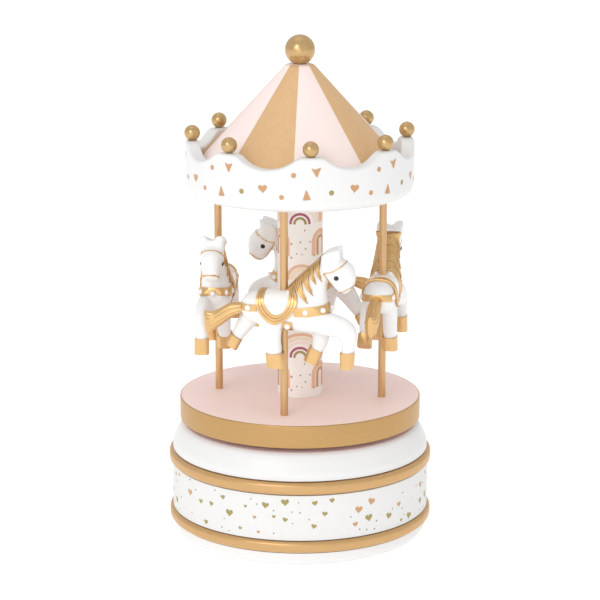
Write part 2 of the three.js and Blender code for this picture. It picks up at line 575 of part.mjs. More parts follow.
const horseShape = geometryOf(horse());
poleSpots.forEach((degrees, i) => {
  const mount = new THREE.Group();
  const [x, y] = at(POLE_CIRCLE, degrees);
  mount.position.set(x, y, PLATFORM.top + HORSES[i].rise);
  mount.rotation.z = THREE.MathUtils.degToRad(degrees + HORSES[i].turn);
  add(`horse_${i + 1}`, horseShape, WHITE, mount);
  carousel.add(mount);
});

// ---------------------------------------------------------------- crown and roof
// How far the crown's rim drops below its peaks, at an angle in degrees from the front. Each scallop is
// a circular arc on the unrolled wall, between flat peaks.
function scallopDip(degrees) {
  const period = 360 / SCALLOPS;
  const fromPeak = Math.abs(((((degrees - FIRST_BALL_ANGLE) % period) + 1.5 * period) % period) - period / 2);
  const toMillimetres = THREE.MathUtils.degToRad(1) * CROWN.radius;
  const fromTrough = (period / 2 - fromPeak) * toMillimetres;
  const halfChord = (period / 2 - SCALLOP_FLAT) * toMillimetres;
  const depth = CROWN.peak - CROWN.trough;
  if (fromTrough >= halfChord) return 0;
  const arcRadius = (halfChord ** 2 + depth ** 2) / (2 * depth);
  return Math.sqrt(arcRadius ** 2 - fromTrough ** 2) - (arcRadius - depth);
}

function crown() {
  const { radius, inner, bottom, floor, peak } = CROWN;
  const profile = [
    [0, bottom], [radius - 4, bottom], [radius - 1.2, bottom + 1.2], [radius, bottom + 4],
    [radius, peak], [inner, peak], [inner, floor], [0, floor],
  ];
  const ring = turn(profile, 8 * SCALLOPS);
  ring.rotateZ(THREE.MathUtils.degToRad(FIRST_BALL_ANGLE));
  const points = ring.attributes.position;
  for (let i = 0; i < points.count; i++) {
    if (points.getZ(i) > peak - 0.01) {
      const degrees = THREE.MathUtils.radToDeg(Math.atan2(points.getX(i), -points.getY(i)));
      points.setZ(i, peak - scallopDip(degrees));
    }
  }
  const sockets = poleSpots.map((degrees) => {
    return solid(rod(POLE_RADIUS + GAP, bottom - 1, bottom + SOCKET_DEPTH, ...at(POLE_CIRCLE, degrees), 10));
  });
  const tenonSocket = solid(rod(TENON_RADIUS + GAP, bottom - 1, bottom + SOCKET_DEPTH, 0, 0, 16));
  return cutAll(solid(ring), [...sockets, tenonSocket]);
}
add("crown", crown(), WHITE);

for (let i = 0; i < SCALLOPS; i++) {
  const [x, y] = at((CROWN.radius + CROWN.inner) / 2, FIRST_BALL_ANGLE + (360 / SCALLOPS) * i);
  const centreZ = CROWN.peak + BALL_RADIUS + 0.1;
  add(`crown_ball_${i + 1}`, ball(x, y, centreZ, BALL_RADIUS, 10, 5), GOLD);
}

const roofProfile = [
  [0, ROOF.bottom], [ROOF.radius, ROOF.bottom], [ROOF.radius, ROOF.eaves],
  [ROOF.topRadius + 0.9, ROOF.top - 0.6], [ROOF.topRadius, ROOF.top - 0.1], [0, ROOF.top - 0.1],
];
const dowelHole = solid(rod(DOWEL_RADIUS + GAP, ROOF.top - 8, ROOF.top + 1, 0, 0, 10));
add("roof_cone", solid(turn(roofProfile, 48)).subtract(dowelHole), PINK);

const finialZ = HEIGHT - FINIAL_RADIUS;
const finialHole = solid(rod(DOWEL_RADIUS + GAP, finialZ - FINIAL_RADIUS - 1, finialZ + 3, 0, 0, 10));
const finialFoot = solid(block(-8, 8, -8, 8, ROOF.top - 10, ROOF.top));
const finialBall = solid(ball(0, 0, finialZ, FINIAL_RADIUS, 16, 9));
add("finial_ball", cutAll(finialBall, [finialHole, finialFoot]), GOLD);
add("finial_dowel", rod(DOWEL_RADIUS, ROOF.top - 7.7, finialZ + 2.7, 0, 0, 10), WOOD);

export default carousel;
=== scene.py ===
"""A wind-up carousel music box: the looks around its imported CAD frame.

All shapes are worked out in millimetres and scaled to metres when a mesh is made. Angles round the
object are in degrees from the front (-Y), positive towards +X.
"""
import math
import random

import bmesh
import bpy
from mathutils import Matrix, Vector
from mathutils.bvhtree import BVHTree


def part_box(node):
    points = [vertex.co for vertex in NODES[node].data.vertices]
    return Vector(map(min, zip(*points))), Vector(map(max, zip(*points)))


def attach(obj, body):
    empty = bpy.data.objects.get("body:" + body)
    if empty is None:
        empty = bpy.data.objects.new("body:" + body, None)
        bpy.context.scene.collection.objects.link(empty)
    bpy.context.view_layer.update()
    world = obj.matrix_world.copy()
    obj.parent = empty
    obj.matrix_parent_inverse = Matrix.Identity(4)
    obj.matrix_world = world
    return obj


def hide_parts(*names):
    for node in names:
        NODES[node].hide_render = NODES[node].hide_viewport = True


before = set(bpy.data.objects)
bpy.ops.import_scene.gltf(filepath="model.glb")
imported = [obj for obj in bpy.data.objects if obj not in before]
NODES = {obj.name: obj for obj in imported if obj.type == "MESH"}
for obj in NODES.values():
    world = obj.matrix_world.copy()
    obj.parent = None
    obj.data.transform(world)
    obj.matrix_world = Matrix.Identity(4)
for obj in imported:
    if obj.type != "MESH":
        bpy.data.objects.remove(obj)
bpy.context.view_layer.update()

MM = 0.001


def span(node):
    """A CAD node's outer radius, bottom and top, in millimetres."""
    low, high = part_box(node)
    return high.y / MM, low.z / MM, high.z / MM


# ------------------------------------------------------------------ sizes, from the frame
BEAD_RADIUS, LOWER_BEAD_BOTTOM, LOWER_BEAD_TOP = span("lower_bead")
_, UPPER_BEAD_BOTTOM, UPPER_BEAD_TOP = span("upper_bead")
BAND_RADIUS, BAND_BOTTOM, BAND_TOP = span("heart_band")
BODY_RADIUS, _, BASE_TOP = span("base_shell")
COVER_RADIUS, COVER_BOTTOM, COVER_TOP = span("base_cover")
PLATFORM_RADIUS, PLATFORM_BOTTOM, PLATFORM_TOP = span("platform")
COLUMN_RADIUS, COLUMN_BOTTOM, COLUMN_TOP = span("column_wrap")
_, CROWN_BOTTOM, CROWN_PEAK = span("crown")
CROWN_RADIUS = 44.8
ROOF_RADIUS, ROOF_BOTTOM, ROOF_TOP = span("roof_cone")
_, FINIAL_FOOT, FINIAL_TOP = span("finial_ball")
SHAFT_BUSH_RADIUS = 4.3
CAVITY_RADIUS = 38.5
CAVITY_CEILING = 37.3
REBATE_RADIUS = 44
REBATE_HEIGHT = 4
FOOT_RADIUS = 46.6
POLE_RADIUS = 1.5
POLE_CIRCLE = 33.1
FIRST_POLE_ANGLE = -10.6
POLES = 4
HORSE_RISES = (0, 0, -3.3, 0)    # how far each horse is raised on its pole
HORSE_TURNS = (0, 0, 0, 5.7)    # how far each is turned from square to its pole, in degrees
SCALLOPS = 8
FIRST_BALL_ANGLE = 5.5
CROWN_INNER = 39.5
CROWN_FLOOR = 144.4
CROWN_TROUGH = 154.2
BALL_RADIUS = 3.1
FINIAL_RADIUS = 5.9
EAVES = 151.9
CAMERA_PLACE = (0, -0.9214, 0.3158)
CAMERA_TILT = 76.48
CAMERA_LENS = 143.1
WORLD_LIGHT = 0.8
FLOOR_GLOW = 0.35
STRIPE_EDGES = [-44.2, -3.8, 39.5, 86, 132, 178, 225, 271]
AROUND = 192

random.seed(11)


# ------------------------------------------------------------------ materials
class Nodes:
    """A small helper that builds one Principled material out of shader nodes."""

    def __init__(self, name, color, roughness, metallic=0.0):
        self.material = bpy.data.materials.new(name)
        self.material.use_nodes = True
        self.tree = self.material.node_tree
        self.shader = self.tree.nodes["Principled BSDF"]
        self.shader.inputs["Base Color"].default_value = (*color, 1)
        self.shader.inputs["Roughness"].default_value = roughness
        self.shader.inputs["Metallic"].default_value = metallic
        self.material.diffuse_color = (*color, 1)
        self.place = self.tree.nodes.new("ShaderNodeTexCoord").outputs["Object"]

    def noise(self, scale, detail=4.0, stretch=(1, 1, 1)):
        mapping = self.tree.nodes.new("ShaderNodeMapping")
        mapping.inputs["Scale"].default_value = stretch
        texture = self.tree.nodes.new("ShaderNodeTexNoise")
        texture.inputs["Scale"].default_value = scale
        texture.inputs["Detail"].default_value = detail
        self.tree.links.new(self.place, mapping.inputs["Vector"])
        self.tree.links.new(mapping.outputs["Vector"], texture.inputs["Vector"])
        return texture.outputs["Fac"]

    def ramp(self, value, stops):
        """A colour ramp over value, with stops of (position, rgb)."""
        ramp = self.tree.nodes.new("ShaderNodeValToRGB")
        for position, color in stops[2:]:
            ramp.color_ramp.elements.new(position)
        for element, (position, color) in zip(ramp.color_ramp.elements, stops):
            element.position = position
            element.color = (*color, 1)
        self.tree.links.new(value, ramp.inputs["Fac"])
        return ramp.outputs["Color"]

    def link(self, socket, name):
        self.tree.links.new(socket, self.shader.inputs[name])
        return self

    def rough(self, value, low, high):
        spread = self.tree.nodes.new("ShaderNodeMapRange")
        spread.inputs["To Min"].default_value = low
        spread.inputs["To Max"].default_value = high
        self.tree.links.new(value, spread.inputs["Value"])
        return self.link(spread.outputs["Result"], "Roughness")

    def bump(self, value, strength, distance):
        """Bump from value; distance is in millimetres."""
        bump = self.tree.nodes.new("ShaderNodeBump")
        bump.inputs["Strength"].default_value = strength
        bump.inputs["Distance"].default_value = distance * MM
        self.tree.links.new(value, bump.inputs["Height"])
        return self.link(bump.outputs["Normal"], "Normal")


def shade(color, factor):
    return tuple(min(1.0, c * factor) for c in color)


def painted(name, color, roughness, grain=1.0, drift=0.05):
    """Sprayed satin paint: faint colour drift, uneven gloss and a fine orange-peel skin."""
    made = Nodes(name, color, roughness)
    made.link(made.ramp(made.noise(60), [(0.35, shade(color, 1 - drift)), (0.65, color)]), "Base Color")
    made.rough(made.noise(240), roughness - 0.06, roughness + 0.06)
    made.bump(made.noise(1400, 3), 0.25 * grain, 0.03)
    return made.material


def gold_paint(name, color, roughness, stretch=(1, 1, 1), streak=0.35, metallic=0.75, dent=0.04):
    """Metallic paint: flakes that drift in tone, with brush marks along the unstretched axis."""
    made = Nodes(name, color, roughness, metallic)
    tone = made.noise(300, 5, stretch)
    made.link(made.ramp(tone, [(0.3, shade(color, 0.97)), (0.7, shade(color, 1.03))]), "Base Color")
    made.rough(made.noise(900, 3, stretch), roughness - 0.08, roughness + 0.1)
    made.bump(made.noise(1100, 4, stretch), streak, dent)
    return made.material


def printed(name, color, roughness=0.55):
    """Printed ink or matte paper, with a little fibre in it."""
    made = Nodes(name, color, roughness)
    made.link(made.ramp(made.noise(500, 6), [(0.3, shade(color, 0.97)), (0.7, color)]), "Base Color")
    made.rough(made.noise(700), roughness - 0.05, roughness + 0.08)
    made.bump(made.noise(2500, 4), 0.12, 0.02)
    return made.material


def bare_wood(name):
    """Light pinewood with rings stretched along the grain."""
    made = Nodes(name, (0.72, 0.52, 0.33), 0.6)
    grain = made.noise(90, 6, (1, 9, 9))
    stops = [(0.3, (0.52, 0.34, 0.19)), (0.5, (0.70, 0.50, 0.31)), (0.72, (0.80, 0.62, 0.42))]
    made.link(made.ramp(grain, stops), "Base Color")
    made.rough(grain, 0.5, 0.72)
    made.bump(grain, 0.4, 0.08)
    return made.material


def metal(name, color, roughness, stretch=(1, 1, 1)):
    """Bare metal with tool marks."""
    made = Nodes(name, color, roughness, 1.0)
    marks = made.noise(1200, 4, stretch)
    made.link(made.ramp(made.noise(200), [(0.3, shade(color, 0.9)), (0.7, color)]), "Base Color")
    made.rough(marks, roughness - 0.08, roughness + 0.12)
    made.bump(marks, 0.2, 0.02)
    return made.material


WHITE = painted("white_paint", (0.79, 0.79, 0.785), 0.38, drift=0.015)
RESIN = painted("horse_white", (0.84, 0.837, 0.83), 0.33, drift=0.015)
PINK = painted("pink_paint", (0.98, 0.77, 0.72), 0.5, drift=0.02)
UNDERSIDE = painted("underside_paint", (0.80, 0.40, 0.33), 0.5, drift=0.03)
ROOF_PINK = painted("roof_pink", (0.95, 0.80, 0.76), 0.5, drift=0.02)
GOLD = gold_paint("gold_paint", (0.60, 0.37, 0.165), 0.38, (1, 1, 4), 0.15)
# The platform's edge gold is the bead gold made darker: the darkness is painted shade on the edge, and the
# paint is the same gold.
EDGE_GOLD_PAINTED_SHADE = gold_paint("edge_gold_painted_shade", (0.51, 0.31, 0.125), 0.38, (1, 1, 4), 0.15)
ROOF_GOLD = gold_paint("roof_gold", (0.74, 0.48, 0.25), 0.5, (2, 2, 1), 0.05, 0.4)
POLE_GOLD = gold_paint("pole_gold", (0.62, 0.39, 0.19), 0.36, (6, 6, 1), 0.15, 0.65)
BALL_GOLD = gold_paint("ball_gold", (0.56, 0.37, 0.17), 0.26, streak=0.1, dent=0.012)
TRIM_GOLD = gold_paint("horse_gold", (0.70, 0.45, 0.20), 0.3, streak=0.5, metallic=0.8, dent=0.12)
# A darker copy of the horse gold for the low layer under the saddle's ribs and the mane's strands: painted
# shade in the grooves between them.
TRIM_PAINTED_SHADE = gold_paint("horse_gold_painted_shade", (0.52, 0.30, 0.12), 0.4, streak=0.3, metallic=0.6)
PAPER = printed("heart_paper", (0.77, 0.77, 0.76))
COLUMN_PAPER = printed("column_paper", (0.93, 0.88, 0.84))
ROSE_INK = printed("rose_gold_ink", (0.56, 0.31, 0.15), 0.4)
OLIVE_INK = printed("olive_gold_ink", (0.36, 0.29, 0.09), 0.4)
GREY_INK = printed("grey_ink", (0.28, 0.28, 0.27))
PEACH_INK = printed("peach_ink", (0.80, 0.50, 0.34))
CREAM_INK = printed("cream_ink", (0.90, 0.74, 0.54))
BLUSH_INK = printed("blush_ink", (0.92, 0.76, 0.70))
MAGENTA_INK = printed("magenta_ink", (0.42, 0.09, 0.17))
WOOD = bare_wood("bare_wood")
STEEL = metal("bright_steel", (0.62, 0.63, 0.64), 0.28, (1, 1, 6))
BRASS = metal("machined_brass", (0.74, 0.55, 0.24), 0.26, (6, 6, 1))
CAST = metal("cast_zinc", (0.42, 0.43, 0.44), 0.45)
NYLON = painted("white_nylon", (0.80, 0.79, 0.74), 0.4)


def eye_black():
    made = Nodes("eye_black", (0.012, 0.011, 0.011), 0.12)
    made.rough(made.noise(900), 0.08, 0.2)
    return made.material


EYE = eye_black()
PEARL = painted("pearl_white", (0.90, 0.88, 0.86), 0.2, grain=0.3, drift=0.03)


# ------------------------------------------------------------------ mesh helpers
def around(radius, degrees, height=0.0):
    angle = math.radians(degrees)
    return Vector((radius * math.sin(angle), -radius * math.cos(angle), height))


def make_object(name, points, faces, materials, crease=35, slots=None):
    """A mesh object from points in millimetres. slots gives each face's material number."""
    mesh = bpy.data.meshes.new(name)
    mesh.from_pydata([tuple(Vector(p) * MM) for p in points], [], faces)
    for material in materials:
        mesh.materials.append(material)
    if slots:
        mesh.polygons.foreach_set("material_index", slots)
    bm = bmesh.new()
    bm.from_mesh(mesh)
    bmesh.ops.recalc_face_normals(bm, faces=bm.faces)
    bm.to_mesh(mesh)
    bm.free()
    mesh.polygons.foreach_set("use_smooth", [True] * len(mesh.polygons))
    mesh.set_sharp_from_angle(angle=math.radians(crease))
    made = bpy.data.objects.new(name, mesh)
    bpy.context.scene.collection.objects.link(made)
    return made


def fit(piece, body, slot, *nodes):
    """Fixes a new piece to a CAD body and hides the CAD nodes that it stands for. slot is not used."""
    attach(piece, body)
    if nodes:
        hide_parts(*nodes)
    return piece


def filleted(corners, steps=6):
    """A profile through corners of (radius, height, fillet), each rounded to an arc of its fillet."""
    points = []
    count = len(corners)
    for i, (r, z, fillet) in enumerate(corners):
        here = Vector((r, z))
        if fillet <= 0:
            points.append((r, z))
            continue
        before = (Vector(corners[i - 1][:2]) - here).normalized()
        after = (Vector(corners[(i + 1) % count][:2]) - here).normalized()
        half = before.angle(after) / 2
        reach = fillet / math.tan(half)
        centre = here + (before + after).normalized() * (fillet / math.sin(half))
        start = here + before * reach - centre
        sweep = start.angle_signed(here + after * reach - centre)
        for k in range(steps + 1):
            turned = start.copy()
            turned.rotate(Matrix.Rotation(-sweep * k / steps, 2))
            points.append(tuple(centre + turned))
    return points


def lathe_mesh(profile, angles, closed, shift=None):
    """Points and faces of a profile turned through angles. shift moves a point by (angle, r, z)."""
    points = []
    for degrees in angles:
        for r, z in profile:
            dr, dz = shift(degrees, r, z) if shift else (0, 0)
            points.append(around(r + dr, degrees, z + dz))
    rows = len(profile)
    faces = []
    for i in range(len(angles)):
        j = (i + 1) % len(angles)
        for k in range(rows if closed else rows - 1):
            m = (k + 1) % rows
            faces.append((i * rows + k, j * rows + k, j * rows + m, i * rows + m))
    return points, faces


def lathe(name, profile, material, closed=True, steps=AROUND, crease=35, shift=None):
    angles = [360 * i / steps for i in range(steps)]
    points, faces = lathe_mesh(profile, angles, closed, shift)
    piece = make_object(name, points, faces, [material], crease)
    return weld(piece)


def weld(piece, distance=0.0005):
    """Merges points that meet, and drops the empty faces this leaves."""
    bm = bmesh.new()
    bm.from_mesh(piece.data)
    bmesh.ops.remove_doubles(bm, verts=bm.verts, dist=distance * MM)
    bmesh.ops.recalc_face_normals(bm, faces=bm.faces)
    bm.to_mesh(piece.data)
    bm.free()
    return piece


def join(name, pieces):
    """One object out of several, keeping each one's materials."""
    bpy.ops.object.select_all(action="DESELECT")
    for piece in pieces:
        piece.select_set(True)
    bpy.context.view_layer.objects.active = pieces[0]
    bpy.ops.object.join()
    pieces[0].name = name
    return pieces[0]


def apply_modifiers(piece):
    graph = bpy.context.evaluated_depsgraph_get()
    mesh = bpy.data.meshes.new_from_object(piece.evaluated_get(graph))
    piece.modifiers.clear()
    piece.data = mesh
    return piece


# ------------------------------------------------------------------ printed marks
def heart(width):
    """A heart's outline with its point down, centred on its middle."""
    points = []
    for i in range(20):
        t = 2 * math.pi * i / 20
        x = 16 * math.sin(t) ** 3
        y = 13 * math.cos(t) - 5 * math.cos(2 * t) - 2 * math.cos(3 * t) - math.cos(4 * t)
        points.append((x * width / 32, (y + 2) * width / 32))
    return points


def round_polygon(corners, steps=3, cut=0.28):
    """A polygon's outline with its corners rounded off by quadratic curves."""
    points = []
    count = len(corners)
    for i, corner in enumerate(corners):
        here = Vector(corner)
        start = here.lerp(Vector(corners[i - 1]), cut)
        end = here.lerp(Vector(corners[(i + 1) % count]), cut)
        for k in range(steps + 1):
            t = k / steps
            points.append(tuple((1 - t) ** 2 * start + 2 * t * (1 - t) * here + t * t * end))
    return points


def triangle(width, height):
    return round_polygon([(-width / 2, -height / 2), (width / 2, -height / 2), (0, height / 2)], cut=0.16)


def dot(size, sides=12):
    turns = [2 * math.pi * i / sides for i in range(sides)]
    return [(size / 2 * math.cos(a), size / 2 * math.sin(a)) for a in turns]


def arch(outer, inner, legs, steps=14):
    """A rainbow's band: half a ring on two short legs."""
    turns = [math.pi * i / steps for i in range(steps + 1)]
    outside = [(outer * math.cos(a), outer * math.sin(a)) for a in turns]
    inside = [(inner * math.cos(a), inner * math.sin(a)) for a in reversed(turns)]
    return [(outer, -legs), *outside, (-outer, -legs), (-inner, -legs), *inside, (inner, -legs)]


def turned(outline, degrees):
    c, s = math.cos(math.radians(degrees)), math.sin(math.radians(degrees))
    return [(c * x - s * y, s * x + c * y) for x, y in outline]


class Print:
    """Marks printed on a cylinder, each a thin closed flake that follows the curve."""

    BELOW, ABOVE = 0.03, 0.035
    SAG = 0.012    # how far a flat face between two points on the cylinder may dip under it

    def __init__(self, radius):
        self.radius = radius
        self.points, self.faces, self.slots, self.materials = [], [], [], []

    def mark(self, outline, degrees, height, material):
        if material not in self.materials:
            self.materials.append(material)
        flat = bmesh.new()
        corners = [flat.verts.new((x, y, 0)) for x, y in outline]
        whole = flat.faces.new(corners)
        whole.normal_update()
        bmesh.ops.triangulate(flat, faces=[whole])
        strip = math.sqrt(8 * self.SAG * self.radius)
        left, right = min(x for x, _ in outline), max(x for x, _ in outline)
        for k in range(math.ceil(left / strip), math.floor(right / strip) + 1):
            everything = [*flat.verts, *flat.edges, *flat.faces]
            bmesh.ops.bisect_plane(flat, geom=everything, plane_co=(k * strip, 0, 0), plane_no=(1, 0, 0))
        flat.verts.index_update()
        count, first = len(flat.verts), len(self.points)
        for lift in (-self.BELOW, self.ABOVE):
            for vert in flat.verts:
                turn = degrees + math.degrees(vert.co.x / self.radius)
                self.points.append(around(self.radius + lift, turn, height + vert.co.y))
        low = [[first + v.index for v in reversed(face.verts[:])] for face in flat.faces]
        high = [[first + count + v.index for v in face.verts] for face in flat.faces]
        rim = [[first + v.index for v in edge.verts] for edge in flat.edges if edge.is_boundary]
        sides = [[a, b, b + count, a + count] for a, b in rim]
        flat.free()
        self.faces += low + high + sides
        self.slots += [self.materials.index(material)] * (len(low) + len(high) + len(sides))

    def build(self, name):
        return make_object(name, self.points, self.faces, self.materials, slots=self.slots)


# ------------------------------------------------------------------ base
def base():
    groove = BEAD_RADIUS - 3
    outside = [
        (FOOT_RADIUS, 0, 0.5), (49.4, 1.3, 1.6), (50.6, 3.4, 2.5), (50.9, LOWER_BEAD_BOTTOM - 0.3, 0),
        (groove, LOWER_BEAD_BOTTOM - 0.3, 0), (groove, BAND_BOTTOM, 0), (BAND_RADIUS - 0.6, BAND_BOTTOM, 0),
        (BAND_RADIUS - 0.6, BAND_TOP, 0), (groove, BAND_TOP, 0), (groove, UPPER_BEAD_TOP + 0.3, 0),
        (BODY_RADIUS, UPPER_BEAD_TOP + 0.3, 0.4), (BODY_RADIUS, 37.4, 4), (49.9, 40, 5), (48.8, 42.4, 4),
        (47.7, 44.3, 3), (46.4, BASE_TOP, 1.4),
    ]
    inside = [
        (SHAFT_BUSH_RADIUS, BASE_TOP, 0.3), (SHAFT_BUSH_RADIUS, CAVITY_CEILING, 0),
        (CAVITY_RADIUS, CAVITY_CEILING, 1), (CAVITY_RADIUS, REBATE_HEIGHT, 0.4),
        (REBATE_RADIUS, REBATE_HEIGHT, 0), (REBATE_RADIUS, 0, 0.4),
    ]
    fit(lathe("base_body", filleted(outside + inside), WHITE), "base", "white_paint", "base_shell")

    beads = (("lower", LOWER_BEAD_BOTTOM, LOWER_BEAD_TOP), ("upper", UPPER_BEAD_BOTTOM, UPPER_BEAD_TOP))
    for name, bottom, top in beads:
        inner = BEAD_RADIUS - 2.7
        corners = [(inner, bottom, 0), (BEAD_RADIUS, bottom, 1.7), (BEAD_RADIUS, top, 1.7), (inner, top, 0)]
        bead = lathe(f"{name}_gold_bead", filleted(corners, 8), GOLD)
        fit(bead, "base", "gold_paint", f"{name}_bead")

    inner = BAND_RADIUS - 0.3
    corners = [(inner, BAND_BOTTOM), (BAND_RADIUS, BAND_BOTTOM), (BAND_RADIUS, BAND_TOP), (inner, BAND_TOP)]
    fit(lathe("paper_band", corners, PAPER), "base", "heart_paper", "heart_band")
    fit(band_print().build("band_hearts"), "base", "heart_paper")


def band_print():
    """Hearts in three sizes strewn round the band, with specks between them."""
    marks = Print(BAND_RADIUS)
    taken = []

    def place(size, margin):
        for _ in range(400):
            degrees = random.uniform(0, 360)
            height = random.uniform(BAND_BOTTOM + size * 0.6 + 0.4, BAND_TOP - size * 0.6 - 0.4)
            spot = Vector((math.radians(degrees) * BAND_RADIUS, height))
            if all((spot - other).length > (size + other_size) / 2 + margin for other, other_size in taken):
                taken.append((spot, size))
                return degrees, height
        return None

    for size, count in ((3.1, 22), (2.2, 24), (1.5, 20)):
        for i in range(count):
            spot = place(size, 2.6)
            if spot:
                outline = turned(heart(size * random.uniform(0.93, 1.07)), random.uniform(-14, 14))
                marks.mark(outline, *spot, ROSE_INK if i % 4 == 3 else OLIVE_INK)
    for _ in range(95):
        spot = place(0.7, 1.3)
        if spot:
            marks.mark(dot(random.uniform(0.5, 0.8), 8), *spot, GREY_INK)
    return marks


def base_cover():
    disc = [
        (0, COVER_BOTTOM, 0), (COVER_RADIUS, COVER_BOTTOM, 0.4),
        (COVER_RADIUS, COVER_TOP, 0.3), (0, COVER_TOP, 0),
    ]
    cover = lathe("cover_board", filleted(disc), WOOD)
    screws = [node for node in NODES if node.startswith("cover_screw_")]
    for node in screws:
        low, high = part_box(node)
        middle = (low + high) / 2 / MM
        pit = [(0, -1), (2.3, -1), (2.3, 2), (1.5, 2), (1.5, 9), (0, 9)]
        points, faces = lathe_mesh(pit, range(0, 360, 10), True)
        shifted = [p + Vector((middle.x, middle.y, 0)) for p in points]
        cutter = weld(make_object("pit", shifted, faces, [WOOD]))
        carve(cover, cutter)
        head = filleted([
            (0, 1.35, 0), (0.55, 1.2, 0), (0.9, 0.7, 0), (1.2, 0.62, 0), (2, 0.9, 0.25), (2, 1.3, 0.1),
            (0.9, 2.3, 0), (0.9, 9.6, 0), (0, 10, 0),
        ], 4)
        points, faces = lathe_mesh(head, range(0, 360, 15), True)
        points = [p + Vector((middle.x, middle.y, 0)) for p in points]
        screw = weld(make_object(f"{node}_turned", points, faces, [STEEL]))
        fit(screw, "base", "steel", node)
    fit(cover, "base", "bare_wood", "base_cover")


def carve(piece, tool, operation="DIFFERENCE"):
    """Cuts piece with tool (or keeps what they share), and removes the tool."""
    cut = piece.modifiers.new("cut", "BOOLEAN")
    cut.operation = operation
    cut.object = tool
    cut.solver = "EXACT"
    apply_modifiers(piece)
    bpy.data.objects.remove(tool)
    return piece


# ------------------------------------------------------------------ platform, column and poles
def platform():
    lip = 0.25
    disc = [
        (0, 53.8, 0), (4.1, 53.8, 0), (4.1, 49.6, 0), (9.3, 49.6, 0), (9.3, PLATFORM_BOTTOM + 0.05, 0.3),
        (PLATFORM_RADIUS - lip, PLATFORM_BOTTOM + 0.05, 0.3), (PLATFORM_RADIUS - lip, PLATFORM_TOP, 0.3),
        (0, PLATFORM_TOP, 0),
    ]
    board = lathe("platform_disc", filleted(disc), PINK)
    board.data.materials.append(UNDERSIDE)
    for face in board.data.polygons:
        face.material_index = int(face.center.z < (PLATFORM_BOTTOM + 1) * MM)
    fit(board, "carousel", "pink_paint", "platform")
    rim = [
        (PLATFORM_RADIUS - 0.6, PLATFORM_BOTTOM, 0), (PLATFORM_RADIUS, PLATFORM_BOTTOM, 0.45),
        (PLATFORM_RADIUS, PLATFORM_TOP, 0.45), (PLATFORM_RADIUS - 0.5, PLATFORM_TOP, 0.1),
        (PLATFORM_RADIUS - 0.6, PLATFORM_TOP - 1, 0),
    ]
    # The edge uses the darkened gold copy, whose extra darkness is painted shade.
    fit(lathe("platform_gold_edge", filleted(rim), EDGE_GOLD_PAINTED_SHADE), "carousel", "gold_paint")


def column():
    inner = COLUMN_RADIUS - 0.3
    outer = COLUMN_RADIUS
    ring = [(inner, COLUMN_BOTTOM), (outer, COLUMN_BOTTOM), (outer, COLUMN_TOP), (inner, COLUMN_TOP)]
    fit(lathe("column_paper_wrap", ring, COLUMN_PAPER, steps=96), "carousel", "column_paper", "column_wrap")
    fit(column_print().build("column_rainbows"), "carousel", "column_paper")


def plus(size):
    half, arm = size / 2, size / 7
    quarter = [(arm, arm), (half, arm), (half, -arm)]
    return [point for degrees in (0, -90, -180, -270) for point in turned(quarter, degrees)]


def column_print():
    """Rainbows, arches and small marks, repeated up and round the column's paper."""
    marks = Print(COLUMN_RADIUS)
    repeat = 53.9
    arches = [
        # degrees round, height, outline, ink
        (0, 73.1, arch(4.3, 3.3, 0.3), MAGENTA_INK),
        (0, 73.1, arch(2.7, 1.7, 0.3), OLIVE_INK),
        (2, 73.1, arch(6.6, 5.4, 0), BLUSH_INK),
        (2, 73.1, arch(8.3, 7.1, 0), CREAM_INK),
        (2, 73.1, arch(9.9, 8.7, 0), PEACH_INK),
        (4, 50.5, arch(6.4, 5.2, 0), PEACH_INK),
        (4, 50.5, arch(4.9, 3.5, 0), CREAM_INK),
        (4, 50.5, arch(3.2, 2.0, 0), BLUSH_INK),
        (62, 65.6, arch(4.9, 3.0, 5.5), PEACH_INK),
        (62, 65.6, arch(2.6, 1.3, 5.5), ROSE_INK),
        (62, 65.6, arch(0.9, 0.2, 5.5), BLUSH_INK),
    ]
    small = [
        (-22, 64.9, plus(1.1), OLIVE_INK), (-22, 59.4, plus(1.0), OLIVE_INK),
        (12, 70.4, dot(0.7, 8), GREY_INK), (1, 65.7, dot(0.7, 8), GREY_INK),
        (26, 65.7, dot(0.7, 8), GREY_INK), (14, 63.0, dot(0.7, 8), GREY_INK),
        (-8, 61.1, dot(0.6, 8), GREY_INK), (5, 60.8, dot(0.5, 8), GREY_INK),
        (-30, 85.5, dot(0.7, 8), GREY_INK), (-48, 79.5, plus(1.0), OLIVE_INK),
        (35, 90.6, dot(0.6, 8), GREY_INK), (-12, 92.4, plus(1.0), OLIVE_INK),
        (20, 96.2, dot(0.7, 8), ROSE_INK), (-52, 68.3, dot(0.7, 8), ROSE_INK),
        (38, 60.2, plus(0.9), OLIVE_INK), (-40, 98.3, dot(0.7, 8), GREY_INK),
    ]
    for turn in (0, 120, 240):
        for lift in (-repeat, 0, repeat):
            for degrees, height, outline, ink in arches + small:
                low = min(y for _, y in outline) + height + lift
                high = max(y for _, y in outline) + height + lift
                if low > COLUMN_BOTTOM and high < COLUMN_TOP:
                    marks.mark(outline, degrees + turn, height + lift, ink)
    return marks


def pole_angles():
    return [FIRST_POLE_ANGLE + 360 / POLES * i for i in range(POLES)]


def poles():
    for i, degrees in enumerate(pole_angles()):
        node = f"pole_{i + 1}"
        _, bottom, top = span(node)
        rod = filleted([(0, bottom, 0), (POLE_RADIUS, bottom, 0.2), (POLE_RADIUS, top, 0.2), (0, top, 0)])
        points, faces = lathe_mesh(rod, range(0, 360, 9), True)
        points = [p + around(POLE_CIRCLE, degrees) for p in points]
        fit(weld(make_object(f"{node}_rod", points, faces, [POLE_GOLD])), "carousel", "gold_metal", node)


